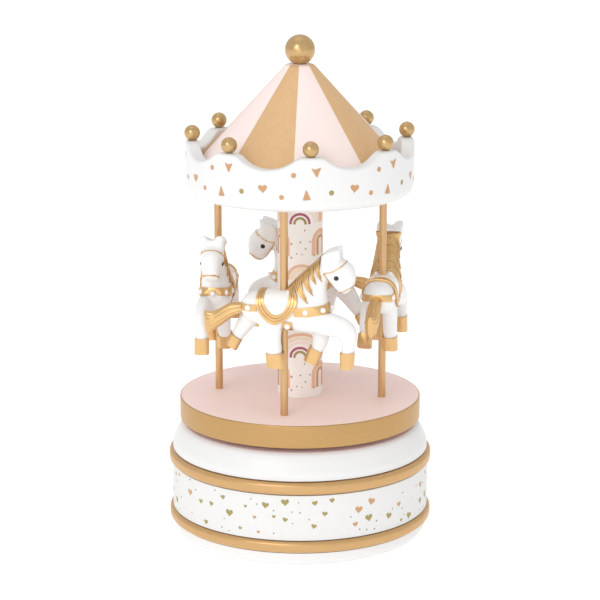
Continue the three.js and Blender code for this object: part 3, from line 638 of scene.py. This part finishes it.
# ------------------------------------------------------------------ crown and roof
def scallop_dip(degrees):
    """How far the crown's rim drops below its peaks: circular arcs between flat peaks."""
    period = 360 / SCALLOPS
    flat = 6
    from_peak = abs((degrees - FIRST_BALL_ANGLE + period / 2) % period - period / 2)
    from_trough = math.radians(period / 2 - from_peak) * CROWN_RADIUS
    half_chord = math.radians(period / 2 - flat) * CROWN_RADIUS
    depth = CROWN_PEAK - CROWN_TROUGH
    if from_trough >= half_chord:
        return 0
    arc_radius = (half_chord ** 2 + depth ** 2) / (2 * depth)
    return math.sqrt(arc_radius ** 2 - from_trough ** 2) - (arc_radius - depth)


def crown():
    angles = [360 * i / (SCALLOPS * 36) for i in range(SCALLOPS * 36)]
    points, rows = [], 0
    for degrees in angles:
        softened = [scallop_dip(degrees + blur) for blur in (-2, -1, 0, 1, 2)]
        top = CROWN_PEAK - sum(softened) / len(softened)
        profile = filleted([
            (0, CROWN_BOTTOM, 0), (CROWN_RADIUS - 4, CROWN_BOTTOM, 2.5),
            (CROWN_RADIUS - 1.2, CROWN_BOTTOM + 1.2, 2), (CROWN_RADIUS, CROWN_BOTTOM + 4, 4),
            (CROWN_RADIUS, top, 1.1), (CROWN_INNER, top, 1.1),
            (CROWN_INNER, CROWN_FLOOR, 0.5), (0, CROWN_FLOOR, 0),
        ])
        rows = len(profile)
        points += [around(r, degrees, z) for r, z in profile]
    _, faces = lathe_mesh([(0, 0)] * rows, angles, True)
    fit(weld(make_object("crown_ring", points, faces, [WHITE])), "carousel", "white_paint", "crown")
    fit(crown_print().build("crown_pattern"), "carousel", "gold_paint")
    for i in range(SCALLOPS):
        degrees = FIRST_BALL_ANGLE + 360 / SCALLOPS * i
        steps = range(0, 181, 12)
        turns = [math.radians(s) for s in steps]
        profile = [(BALL_RADIUS * math.sin(a), -BALL_RADIUS * math.cos(a)) for a in turns]
        points, faces = lathe_mesh(profile, range(0, 360, 12), False)
        centre = around((CROWN_RADIUS + CROWN_INNER) / 2, degrees, CROWN_PEAK + BALL_RADIUS - 0.15)
        ball = weld(make_object(f"crown_bead_{i + 1}", [p + centre for p in points], faces, [BALL_GOLD]))
        fit(ball, "carousel", "gold_metal", f"crown_ball_{i + 1}")


def crown_print():
    """The same loose group of triangles, a heart and dots under every peak, each a little different."""
    marks = Print(CROWN_RADIUS)
    motifs = [
        (2, 153.8, round_polygon([(-2, 1.9), (-0.3, 1.3), (2, 2.1), (0.2, -2.1)], cut=0.18), ROSE_INK),
        (-2.3, 145.2, triangle(3.3, 4.2), ROSE_INK),
        (21.5, 147, heart(3.7), ROSE_INK),
        (-8.6, 153, dot(2, 16), ROSE_INK),
        (10, 146, dot(2, 16), OLIVE_INK),
        (-14.2, 144.4, dot(1.9, 16), ROSE_INK),
    ]
    for i in range(SCALLOPS):
        peak = FIRST_BALL_ANGLE + 360 / SCALLOPS * i
        for degrees, height, outline, ink in motifs:
            marks.mark(
                turned(outline, random.uniform(-7, 7)),
                peak + degrees + random.uniform(-0.5, 0.5),
                height + random.uniform(-0.3, 0.3),
                ink,
            )
    return marks


def roof():
    skin = 0.04
    outside = filleted([
        (ROOF_RADIUS, ROOF_BOTTOM, 0), (ROOF_RADIUS, EAVES, 2.2),
        (5.8, ROOF_TOP - 0.5, 0.5), (4.9, ROOF_TOP, 0),
    ])
    body = [(0, ROOF_BOTTOM)] + [(r - skin, z) for r, z in outside] + [(0, ROOF_TOP)]
    fit(lathe("roof_turning", body, ROOF_PINK), "carousel", "pink_paint", "roof_cone")

    stripe_profile = outside + [(r - 0.6, z - 0.1) for r, z in reversed(outside)]
    stripes = []
    edges = STRIPE_EDGES + [STRIPE_EDGES[0] + 360]
    for i in range(0, len(STRIPE_EDGES), 2):
        low, high = edges[i], edges[i + 1]
        steps = max(2, round((high - low) / 2))
        angles = [low + (high - low) * k / steps for k in range(steps + 1)]
        stripes.append(open_sweep(f"stripe_{i}", stripe_profile, angles, ROOF_GOLD))
    fit(join("roof_gold_stripes", stripes), "carousel", "gold_paint")

    radius = FINIAL_RADIUS
    middle = FINIAL_TOP - radius
    steps = 28
    first = math.degrees(math.acos((middle - FINIAL_FOOT) / radius))
    turns = [math.radians(first + (180 - first) * k / steps) for k in range(steps + 1)]
    ball = [(0, FINIAL_FOOT)] + [(radius * math.sin(t), middle - radius * math.cos(t)) for t in turns]
    ball[-1] = (0, FINIAL_TOP)
    fit(lathe("finial_globe", ball, BALL_GOLD, False, 64), "carousel", "gold_metal", "finial_ball")


def open_sweep(name, profile, angles, material):
    """A closed section turned through part of a circle, with its two ends closed."""
    points = [around(r, degrees, z) for degrees in angles for r, z in profile]
    rows, last = len(profile), len(angles) - 1
    faces = [list(range(rows)), [last * rows + k for k in reversed(range(rows))]]
    for i in range(last):
        for k in range(rows):
            m = (k + 1) % rows
            faces.append([i * rows + k, (i + 1) * rows + k, (i + 1) * rows + m, i * rows + m])
    return make_object(name, points, faces, [material])


# ------------------------------------------------------------------ horses
# A horse stands in its own frame: x ahead, y to its left, z above the platform, its pole at x = y = 0.
# A loft is a list of sections (front or top edge (x, z), back or bottom edge (x, z), half width).
TORSO = [
    ((-16.6, 44.6), (-16.2, 41.0), 2.6),
    ((-15.2, 47.3), (-15.0, 38.9), 4.7), ((-12.4, 48.8), (-12.6, 37.2), 5.9),
    ((-8, 49.5), (-8.6, 36.2), 6.3), ((-3, 49.6), (-3, 35.6), 6.3), ((2, 49.6), (2, 34.7), 6.2),
    ((7, 49.2), (7, 33.9), 6.2), ((11, 48.4), (12, 33.5), 6.1), ((15, 46.8), (15.8, 35), 5.4),
    ((17.7, 44.8), (18.0, 40), 3.2),
]
NECK = [
    ((0.2, 46), (16.4, 39.5), 5.4), ((1.6, 50.0), (17.2, 43.5), 5.5), ((4.4, 53.4), (16.9, 47.2), 4.9),
    ((7.2, 56.2), (16.7, 50.4), 4.5), ((10.2, 58.9), (16.9, 53.4), 4.2), ((12.8, 61.2), (17.9, 55.8), 4.0),
    ((15.6, 63.4), (20, 57), 3.5),
]
HEAD = [
    ((13.4, 62.4), (15.0, 57.6), 3.1), ((15.2, 64.0), (15.8, 56.4), 4.1), ((18.6, 64.3), (16.6, 55.3), 4.5),
    ((21.6, 63.6), (17.6, 54.2), 4.5), ((24.2, 62.3), (18.6, 53.0), 4.3), ((26.3, 60.7), (19.3, 52.1), 4.0),
    ((27.5, 58.3), (20.0, 51.2), 3.7), ((27.8, 55.8), (20.9, 50.4), 3.4), ((27.4, 53.2), (22.2, 49.7), 3.2),
    ((26.1, 51.2), (24.2, 49.6), 2.3),
]
EAR = [
    ((22.2, 60.6), (14.6, 60.2), 2.3), ((22.4, 62.6), (14.6, 62.2), 2.4), ((22.4, 64.2), (14.6, 63.8), 2.4),
    ((22.4, 65.6), (15.4, 64.8), 2.3), ((22.4, 66.8), (16.8, 65.9), 1.9), ((22.3, 67.6), (19.2, 66.7), 1.1),
]
POLL = [
    ((22.0, 59.6), (14.8, 59.6), 4.2), ((22.2, 62.6), (14.8, 62.4), 4.5), ((22.2, 64.4), (15.0, 64.1), 4.5),
    ((22.1, 65.6), (16.0, 65.1), 4.2),
]
RIGHT_FORELEG = [
    ((13, 43), (10.6, 35.4), 2.2), ((18.2, 42.6), (15, 33.8), 2.8), ((22.4, 41.5), (18, 33.4), 2.9),
    ((26, 39.6), (20.6, 32.9), 2.9), ((28.5, 36.7), (22.3, 32.2), 2.8), ((29.0, 33.2), (23, 30.6), 2.7),
    ((28.4, 29.6), (23.2, 29.0), 2.6), ((27.9, 27.2), (23, 27), 2.4), ((27.5, 25.5), (23.3, 25.5), 2.0),
]
LEFT_FORELEG = [
    ((16, 42), (8.6, 40), 2.4), ((17.5, 37), (9.6, 34.8), 2.8), ((17.3, 32), (10.4, 31.4), 2.8),
    ((16.2, 28), (10.4, 29.2), 2.6), ((14.6, 25.2), (10, 27.4), 2.4), ((13.8, 23.8), (9.6, 26.2), 2.0),
]
RIGHT_HIND_LEG = [
    ((-1.5, 42), (-12, 43), 2.2), ((0, 38), (-10.4, 40), 2.7), ((-0.3, 34.5), (-9.0, 36), 2.9),
    ((-0.5, 30.5), (-7.9, 31.4), 2.8), ((-0.2, 27.6), (-6.8, 27.6), 2.7), ((-0.3, 25.6), (-6.1, 25.4), 2.4),
    ((-0.8, 24), (-5.6, 24), 2.0),
]
LEFT_HIND_LEG = [
    ((-12.6, 44.6), (-6.8, 39.6), 2.2),
    ((-16.2, 41.4), (-10, 36.4), 2.8), ((-18.6, 37.4), (-13.2, 33.2), 2.7),
    ((-20.6, 33), (-16.4, 29.6), 2.5), ((-21.4, 31.2), (-17.8, 28.2), 2.0),
]
HOOVES = [
    (-1, [((28.1, 27.5), (22.4, 27.1), 2.75),
         ((28, 24.2), (22.5, 24.1), 2.8), ((27.7, 21.0), (22.6, 20.9), 2.9)]),
    (1, [((14.6, 24.9), (9.4, 27.6), 2.75),
         ((13.4, 22.3), (8.2, 24.8), 2.85), ((12.4, 19.7), (7.2, 22.0), 2.9)]),
    (-1, [((0.3, 25.9), (-6.5, 25.6), 2.8),
         ((0.8, 23), (-6.2, 22.8), 2.85), ((1.0, 20.0), (-5.9, 20.2), 2.9)]),
    (1, [((-21.6, 31.5), (-17.3, 28.3), 2.75),
         ((-22.8, 29.3), (-18.4, 26.2), 2.8), ((-23.7, 27.4), (-19.4, 24.4), 2.85)]),
]
TAIL = [
    ((-15.0, 44.2), (-15.2, 40.6), 1.7),
    ((-17.6, 44.1), (-17.4, 39.8), 2.2), ((-20.8, 43.8), (-20.4, 38.4), 2.5),
    ((-24, 42.3), (-23.4, 36.0), 2.6), ((-27, 40.4), (-26.6, 33.6), 2.6), ((-29.4, 40.0), (-28.6, 32.1), 2.5),
    ((-30.7, 40.2), (-29.8, 31.9), 1.9), ((-31.4, 40.0), (-30.9, 32.0), 0.9),
]
LEG_OFFSET = 3.7
EAR_OFFSET = 2.3


def catmull(a, b, c, d, t):
    second, third = 2 * a - 5 * b + 4 * c - d, 3 * b - a - 3 * c + d
    return 0.5 * (2 * b + (c - a) * t + second * t * t + third * t ** 3)


def smooth_sections(sections, steps):
    """Sections between the given ones, so that the loft's edges run as curves."""
    rows = [Vector((*first, *second, width)) for first, second, width in sections]
    made = []
    for i in range(len(rows) - 1):
        a, b, c, d = rows[max(i - 1, 0)], rows[i], rows[i + 1], rows[min(i + 2, len(rows) - 1)]
        made += [catmull(a, b, c, d, k / steps) for k in range(steps)]
    return made + [rows[-1]]


def loft(name, sections, material, y=0.0, grow=0.0, square=2.4, steps=4, sides=28, flutes=(0, 0.0), lean=0.0):
    """A solid through superellipse sections. flutes is (how many grooves run along it, how deep)."""
    rows = smooth_sections(sections, steps) if steps > 1 else [Vector((*a, *b, w)) for a, b, w in sections]
    points = []
    for row_number, row in enumerate(rows):
        first, second, width = Vector(row[0:2]), Vector(row[2:4]), row[4]
        middle, half = (first + second) / 2, (first - second) / 2
        length = half.length
        half *= (length + grow) / length
        side = y + lean * row_number / (len(rows) - 1)
        for k in range(sides):
            t = 2 * math.pi * k / sides
            c, s = math.cos(t), math.sin(t)
            swell = 1 + flutes[1] * math.cos(flutes[0] * t)
            along = math.copysign(abs(c) ** (2 / square), c) * swell
            across = math.copysign(abs(s) ** (2 / square), s) * swell
            spot = middle + half * along
            points.append((spot.x, side + (width + grow) * across, spot.y))
    faces = [[k for k in range(sides)], [(len(rows) - 1) * sides + k for k in reversed(range(sides))]]
    for i in range(len(rows) - 1):
        for k in range(sides):
            m = (k + 1) % sides
            faces.append([i * sides + k, (i + 1) * sides + k, (i + 1) * sides + m, i * sides + m])
    return make_object(name, points, faces, [material])


def horse_body(name, grow=0.0, detail=0.42):
    """The moulded horse without its gold: lofts melted into one skin."""
    parts = [
        loft("part", TORSO, RESIN, grow=grow, square=2.5),
        loft("part", NECK, RESIN, grow=grow),
        loft("part", HEAD, RESIN, grow=grow, square=2.6),
        loft("part", RIGHT_FORELEG, RESIN, -LEG_OFFSET, grow),
        loft("part", LEFT_FORELEG, RESIN, LEG_OFFSET, grow),
        loft("part", RIGHT_HIND_LEG, RESIN, -LEG_OFFSET, grow),
        loft("part", LEFT_HIND_LEG, RESIN, LEG_OFFSET, grow),
        loft("part", POLL, RESIN, grow=grow, square=4.5),
        loft("part", EAR, RESIN, -EAR_OFFSET, grow, square=3, lean=-1.3),
        loft("part", EAR, RESIN, EAR_OFFSET, grow, square=3, lean=1.3),
    ]
    body = join(name, parts)
    remesh = body.modifiers.new("skin", "REMESH")
    remesh.mode = "VOXEL"
    remesh.voxel_size = detail * MM
    smooth = body.modifiers.new("smooth", "SMOOTH")
    smooth.factor = 0.5
    smooth.iterations = 9
    return apply_modifiers(body)


def prism(outline, half=12.0):
    """An outline of (x, z) points drawn out across the horse, as a cutting tool."""
    count = len(outline)
    points = [(x, -half, z) for x, z in outline] + [(x, half, z) for x, z in outline]
    faces = [list(range(count)), [count + k for k in reversed(range(count))]]
    faces += [[k, count + k, count + (k + 1) % count, (k + 1) % count] for k in range(count)]
    return make_object("prism", points, faces, [])


def trim(name, grown, outline, material):
    """A raised trim: the part of a grown horse skin that lies inside an outline, right across."""
    piece = grown.copy()
    piece.data = grown.data.copy()
    piece.name = name
    bpy.context.scene.collection.objects.link(piece)
    carve(piece, prism(outline), "INTERSECT")
    piece.data.materials.clear()
    piece.data.materials.append(material)
    for face in piece.data.polygons:
        face.material_index = 0
    return piece


def ribbon(line, width):
    """The outline of a strip of a width along a line of points."""
    left, right = [], []
    points = [Vector(p) for p in line]
    for i, point in enumerate(points):
        ahead = (points[min(i + 1, len(points) - 1)] - points[max(i - 1, 0)]).normalized()
        side = Vector((-ahead.y, ahead.x)) * width / 2
        left.append(tuple(point + side))
        right.append(tuple(point - side))
    return left + right[::-1]


def curve(points, steps=4, closed=False):
    """A smooth line through points."""
    spots = [Vector(p) for p in points]
    count = len(spots)
    made = []
    for i in range(count if closed else count - 1):
        if closed:
            a, b, c, d = (spots[(i + k) % count] for k in (-1, 0, 1, 2))
        else:
            a, b, c, d = spots[max(i - 1, 0)], spots[i], spots[i + 1], spots[min(i + 2, count - 1)]
        made += [tuple(catmull(a, b, c, d, k / steps)) for k in range(steps)]
    return made if closed else made + [tuple(spots[-1])]


SADDLE_OUTER = [
    (-9.2, 51.6), (-9.9, 47.4), (-9.4, 44.1), (-8.1, 41.4),
    (-6.2, 39.3), (-3.1, 37.6), (0.6, 38.6), (3.7, 41.4),
    (5.8, 44.8), (6.1, 48.0), (5.0, 51.6),
]
SADDLE_INNER = [
    (-6.6, 51.6), (-6.8, 47.4), (-6.0, 44.8), (-4.2, 42.3),
    (-2.6, 41.4), (-0.8, 41.6), (1.1, 43.0), (2.4, 45.7),
    (2.7, 48.3), (2.4, 51.6),
]
# Each lock of the mane hangs from between two points of the crest to its tip.
LOCKS = [
    ((12.2, 62.0), (14.9, 64.2), (15.5, 54.4)), ((9.6, 59.8), (12.6, 62.4), (13.4, 53.4)),
    ((6.8, 57.2), (10.2, 60.4), (12.3, 49.0)), ((3.8, 54.2), (7.4, 57.8), (10.4, 46.0)),
    ((1.6, 51.8), (4.6, 55.0), (6.2, 48.4)),
]
CREST = [(0.8, 50.4), (2.6, 52.6), (5.4, 55.4), (8.4, 58.2), (11.2, 60.7), (13.6, 62.7)]
STRANDS = 4


def between(first, second, share):
    """The curve part of the way between two curves of as many points."""
    return [tuple(Vector(p).lerp(Vector(q), share)) for p, q in zip(first, second)]


def even(line, count):
    """A line of points made again with count points, evenly spaced."""
    spots = [Vector(p) for p in line]
    lengths = [0.0]
    for p, q in zip(spots, spots[1:]):
        lengths.append(lengths[-1] + (q - p).length)
    made, k = [], 0
    for i in range(count):
        target = lengths[-1] * i / (count - 1)
        while k < len(spots) - 2 and lengths[k + 1] < target:
            k += 1
        made.append(tuple(spots[k].lerp(spots[k + 1], (target - lengths[k]) / (lengths[k + 1] - lengths[k]))))
    return made


def lock_outline(first, second, tip, low=0.0, high=1.0):
    """The outline of a lock, or of a strand between two shares of its width, from its root to its tip."""
    first, second, tip = Vector(first), Vector(second), Vector(tip)
    start, end = first.lerp(second, low), first.lerp(second, high)
    point = tip.lerp(start.lerp(end, 0.5), 0.22 * abs(low + high - 1))
    sag = (tip - (first + second) / 2).orthogonal().normalized() * 0.9
    if sag.x > 0:
        sag = -sag
    left = [start.lerp(point, t) + sag * math.sin(math.pi * t) for t in (0, 0.3, 0.6, 0.85)]
    right = [end.lerp(point, t) + sag * math.sin(math.pi * t) for t in (0.85, 0.6, 0.3, 0)]
    return [tuple(p) for p in left + [point] + right]


def surface_spot(tree, x, z, side):
    """The point of the horse's skin at (x, z) on one side, in millimetres."""
    hit, _, _, _ = tree.ray_cast(Vector((x, side * 20, z)) * MM, Vector((0, -side, 0)))
    return hit / MM if hit else Vector((x, 0, z))


def small_ball(spot, radius, material, flatten=1.0, sides=14):
    steps = range(0, 181, 20)
    profile = [(radius * math.sin(math.radians(s)), -radius * math.cos(math.radians(s))) for s in steps]
    points, faces = lathe_mesh(profile, [360 * k / sides for k in range(sides)], False)
    points = [Vector((p.x, p.y * flatten, p.z)) + spot for p in points]
    return weld(make_object("bead", points, faces, [material]))


def horse_pieces():
    """The shared meshes of a horse: its skin, its gold, its white seat and pearls, and its eyes."""
    skin = horse_body("horse_skin")
    raised = horse_body("horse_raised", 0.45)
    proud = horse_body("horse_proud", 0.8)
    tree = BVHTree.FromObject(skin, bpy.context.evaluated_depsgraph_get())

    gold = [
        loft("hoof", sections, TRIM_GOLD, side * LEG_OFFSET, square=3.4, steps=2)
        for side, sections in HOOVES
    ]
    gold.append(loft("tail", TAIL, TRIM_GOLD, square=2.2, steps=6, sides=72, flutes=(14, 0.045)))

    outer, inner = even(curve(SADDLE_OUTER), 40), even(curve(SADDLE_INNER), 40)
    # The saddle's root, the locks and the crest take the darker gold copy: painted shade where this low layer
    # shows between the raised ribs and strands.
    gold.append(trim("saddle_root", raised, outer + inner[::-1], TRIM_PAINTED_SHADE))
    for low, high in ((0.02, 0.32), (0.38, 0.62), (0.70, 0.98)):
        rib = between(outer, inner, low) + between(outer, inner, high)[::-1]
        gold.append(trim("saddle_rib", proud, rib, TRIM_GOLD))
    for lock in LOCKS:
        gold.append(trim("lock", raised, lock_outline(*lock), TRIM_PAINTED_SHADE))
        for k in range(STRANDS):
            strand = lock_outline(*lock, (k + 0.08) / STRANDS, (k + 0.92) / STRANDS)
            gold.append(trim("strand", proud, strand, TRIM_GOLD))
    gold.append(trim("crest", raised, ribbon(curve(CREST), 1.8), TRIM_PAINTED_SHADE))
    straps = [
        [(5.0, 44.2), (9.3, 44.6), (14, 45.1), (19, 46), (19, 42.9), (14, 41.7), (9.8, 41.1), (5.0, 41.0)],
        [(-9.6, 45.0), (-13.2, 44.9), (-17.6, 45.4), (-17.6, 42.7), (-13.2, 42.3), (-9.4, 42.5)],
        [(0.2, 38.6), (4.2, 38.6), (4.2, 34.9), (0.2, 34.9)],
    ]
    gold += [trim("strap", raised, outline, TRIM_GOLD) for outline in straps]
    bridle = [
        [(16.1, 57.8), (19.1, 58.5), (21.3, 59.7), (23.1, 60.9), (24.6, 62.4), (25.6, 63.6)],
        [(16.3, 57.3), (18.0, 54.2), (20.6, 50.3)],
        [(20.7, 49.6), (23.5, 50.8), (25.8, 52.1), (27.2, 52.8), (28.6, 53.2)],
    ]
    fine = horse_body("horse_fine", 0.16)
    gold += [trim("bridle", fine, ribbon(curve(line), 0.42), TRIM_GOLD) for line in bridle]

    pearls, eyes = [trim("seat", raised, even(curve(SADDLE_INNER), 40), PEARL)], []
    for side in (-1, 1):
        for x, z, radius in ((9.4, 42.8, 1.1), (16.0, 43.6, 1.1), (-13.0, 43.7, 1.1), (2.2, 36.8, 1.2)):
            spot = surface_spot(tree, x, z, side)
            pearls.append(small_ball(spot + Vector((0, side * 0.5, 0)), radius, PEARL, 0.7))
        for x, z in ((22.9, 60.8), (26.6, 52.5), (16.3, 57.5)):
            spot = surface_spot(tree, x, z, side)
            gold.append(small_ball(spot + Vector((0, side * 0.1, 0)), 0.42, TRIM_GOLD))
        spot = surface_spot(tree, 20.9, 56.2, side)
        eyes.append(small_ball(spot - Vector((0, side * 0.3, 0)), 1.05, EYE, 0.75, 20))
    pearls.append(small_ball(Vector((18.7, 0, 43.6)), 1.1, PEARL))

    for tool in (raised, proud, fine):
        bpy.data.objects.remove(tool)
    skin.data.materials.clear()
    skin.data.materials.append(RESIN)
    for face in skin.data.polygons:
        face.material_index = 0
        face.use_smooth = True
    return skin, join("horse_gold", gold), join("horse_pearls", pearls), join("horse_eyes", eyes)


def horses():
    masters = horse_pieces()
    slots = ("horse_resin", "gold_paint", "horse_resin", "horse_resin")
    for i, degrees in enumerate(pole_angles()):
        place = Matrix.Translation(around(POLE_CIRCLE, degrees, PLATFORM_TOP + HORSE_RISES[i]) * MM)
        place = place @ Matrix.Rotation(math.radians(degrees + HORSE_TURNS[i]), 4, "Z")
        for master, slot_name in zip(masters, slots):
            piece = bpy.data.objects.new(f"{master.name}_{i + 1}", master.data)
            bpy.context.scene.collection.objects.link(piece)
            piece.matrix_world = place
            if master is masters[0]:
                fit(piece, "carousel", slot_name, f"horse_{i + 1}")
            else:
                fit(piece, "carousel", slot_name)
    for master in masters:
        bpy.data.objects.remove(master)


# ------------------------------------------------------------------ the movement
MOVEMENT_LOOKS = {
    BRASS: ("main_wheel", "drum_gear", "tune_drum", "worm_wheel", "shaft_bush", "hub_plate", "spring_barrel"),
    STEEL: (
        "winding_shaft", "arbor", "pinion", "governor_worm", "comb", "screw", "mainspring", "governor_fan",
    ),
    CAST: ("movement_bedplate", "governor_bracket"),
    NYLON: ("thrust_washer",),
    WOOD: ("column_core", "finial_dowel"),
}


def dress_movement():
    """Gives the frame's own inner pieces their metals; they keep their shapes."""
    for material, words in MOVEMENT_LOOKS.items():
        for name, node in NODES.items():
            if any(word in name for word in words) and not node.hide_render:
                node.data.materials.clear()
                node.data.materials.append(material)


# ------------------------------------------------------------------ studio
def studio():
    scene = bpy.context.scene
    bpy.ops.mesh.primitive_plane_add(size=8)
    floor = bpy.context.object
    floor.name = "studio_floor"
    backdrop = Nodes("studio_white", (0.95, 0.95, 0.95), 0.9)
    backdrop.shader.inputs["Emission Color"].default_value = (1, 1, 1, 1)
    backdrop.shader.inputs["Emission Strength"].default_value = FLOOR_GLOW
    floor.data.materials.append(backdrop.material)

    world = bpy.data.worlds.new("studio_world")
    world.use_nodes = True
    world.node_tree.nodes["Background"].inputs["Color"].default_value = (1, 1, 1, 1)
    world.node_tree.nodes["Background"].inputs["Strength"].default_value = WORLD_LIGHT
    scene.world = world

    target = Vector((0, 0, 0.1))
    for name, place, size, power in (
        ("key", (-0.7, -1.3, 0.75), 0.8, 4), ("fill", (0.9, -1.2, 0.5), 1.0, 0.4),
        ("low", (-0.2, -1.7, 0.4), 0.8, 1.6),
        ("top", (-0.2, 0.2, 1.5), 1.0, 1), ("glint", (-0.55, -1.1, 0.95), 0.22, 1.2),
    ):
        lamp = bpy.data.lights.new(name, "AREA")
        lamp.size = size
        lamp.energy = power
        holder = bpy.data.objects.new(name, lamp)
        scene.collection.objects.link(holder)
        holder.location = place
        holder.rotation_euler = (target - holder.location).to_track_quat("-Z", "Y").to_euler()

    camera = bpy.data.cameras.new("camera")
    camera.lens = CAMERA_LENS
    camera.sensor_width = 36
    holder = bpy.data.objects.new("camera", camera)
    scene.collection.objects.link(holder)
    holder.location = CAMERA_PLACE
    holder.rotation_euler = (math.radians(CAMERA_TILT), 0, 0)
    scene.camera = holder
    scene.view_settings.view_transform = "Standard"


base()
base_cover()
platform()
column()
poles()
crown()
roof()
horses()
dress_movement()
studio()
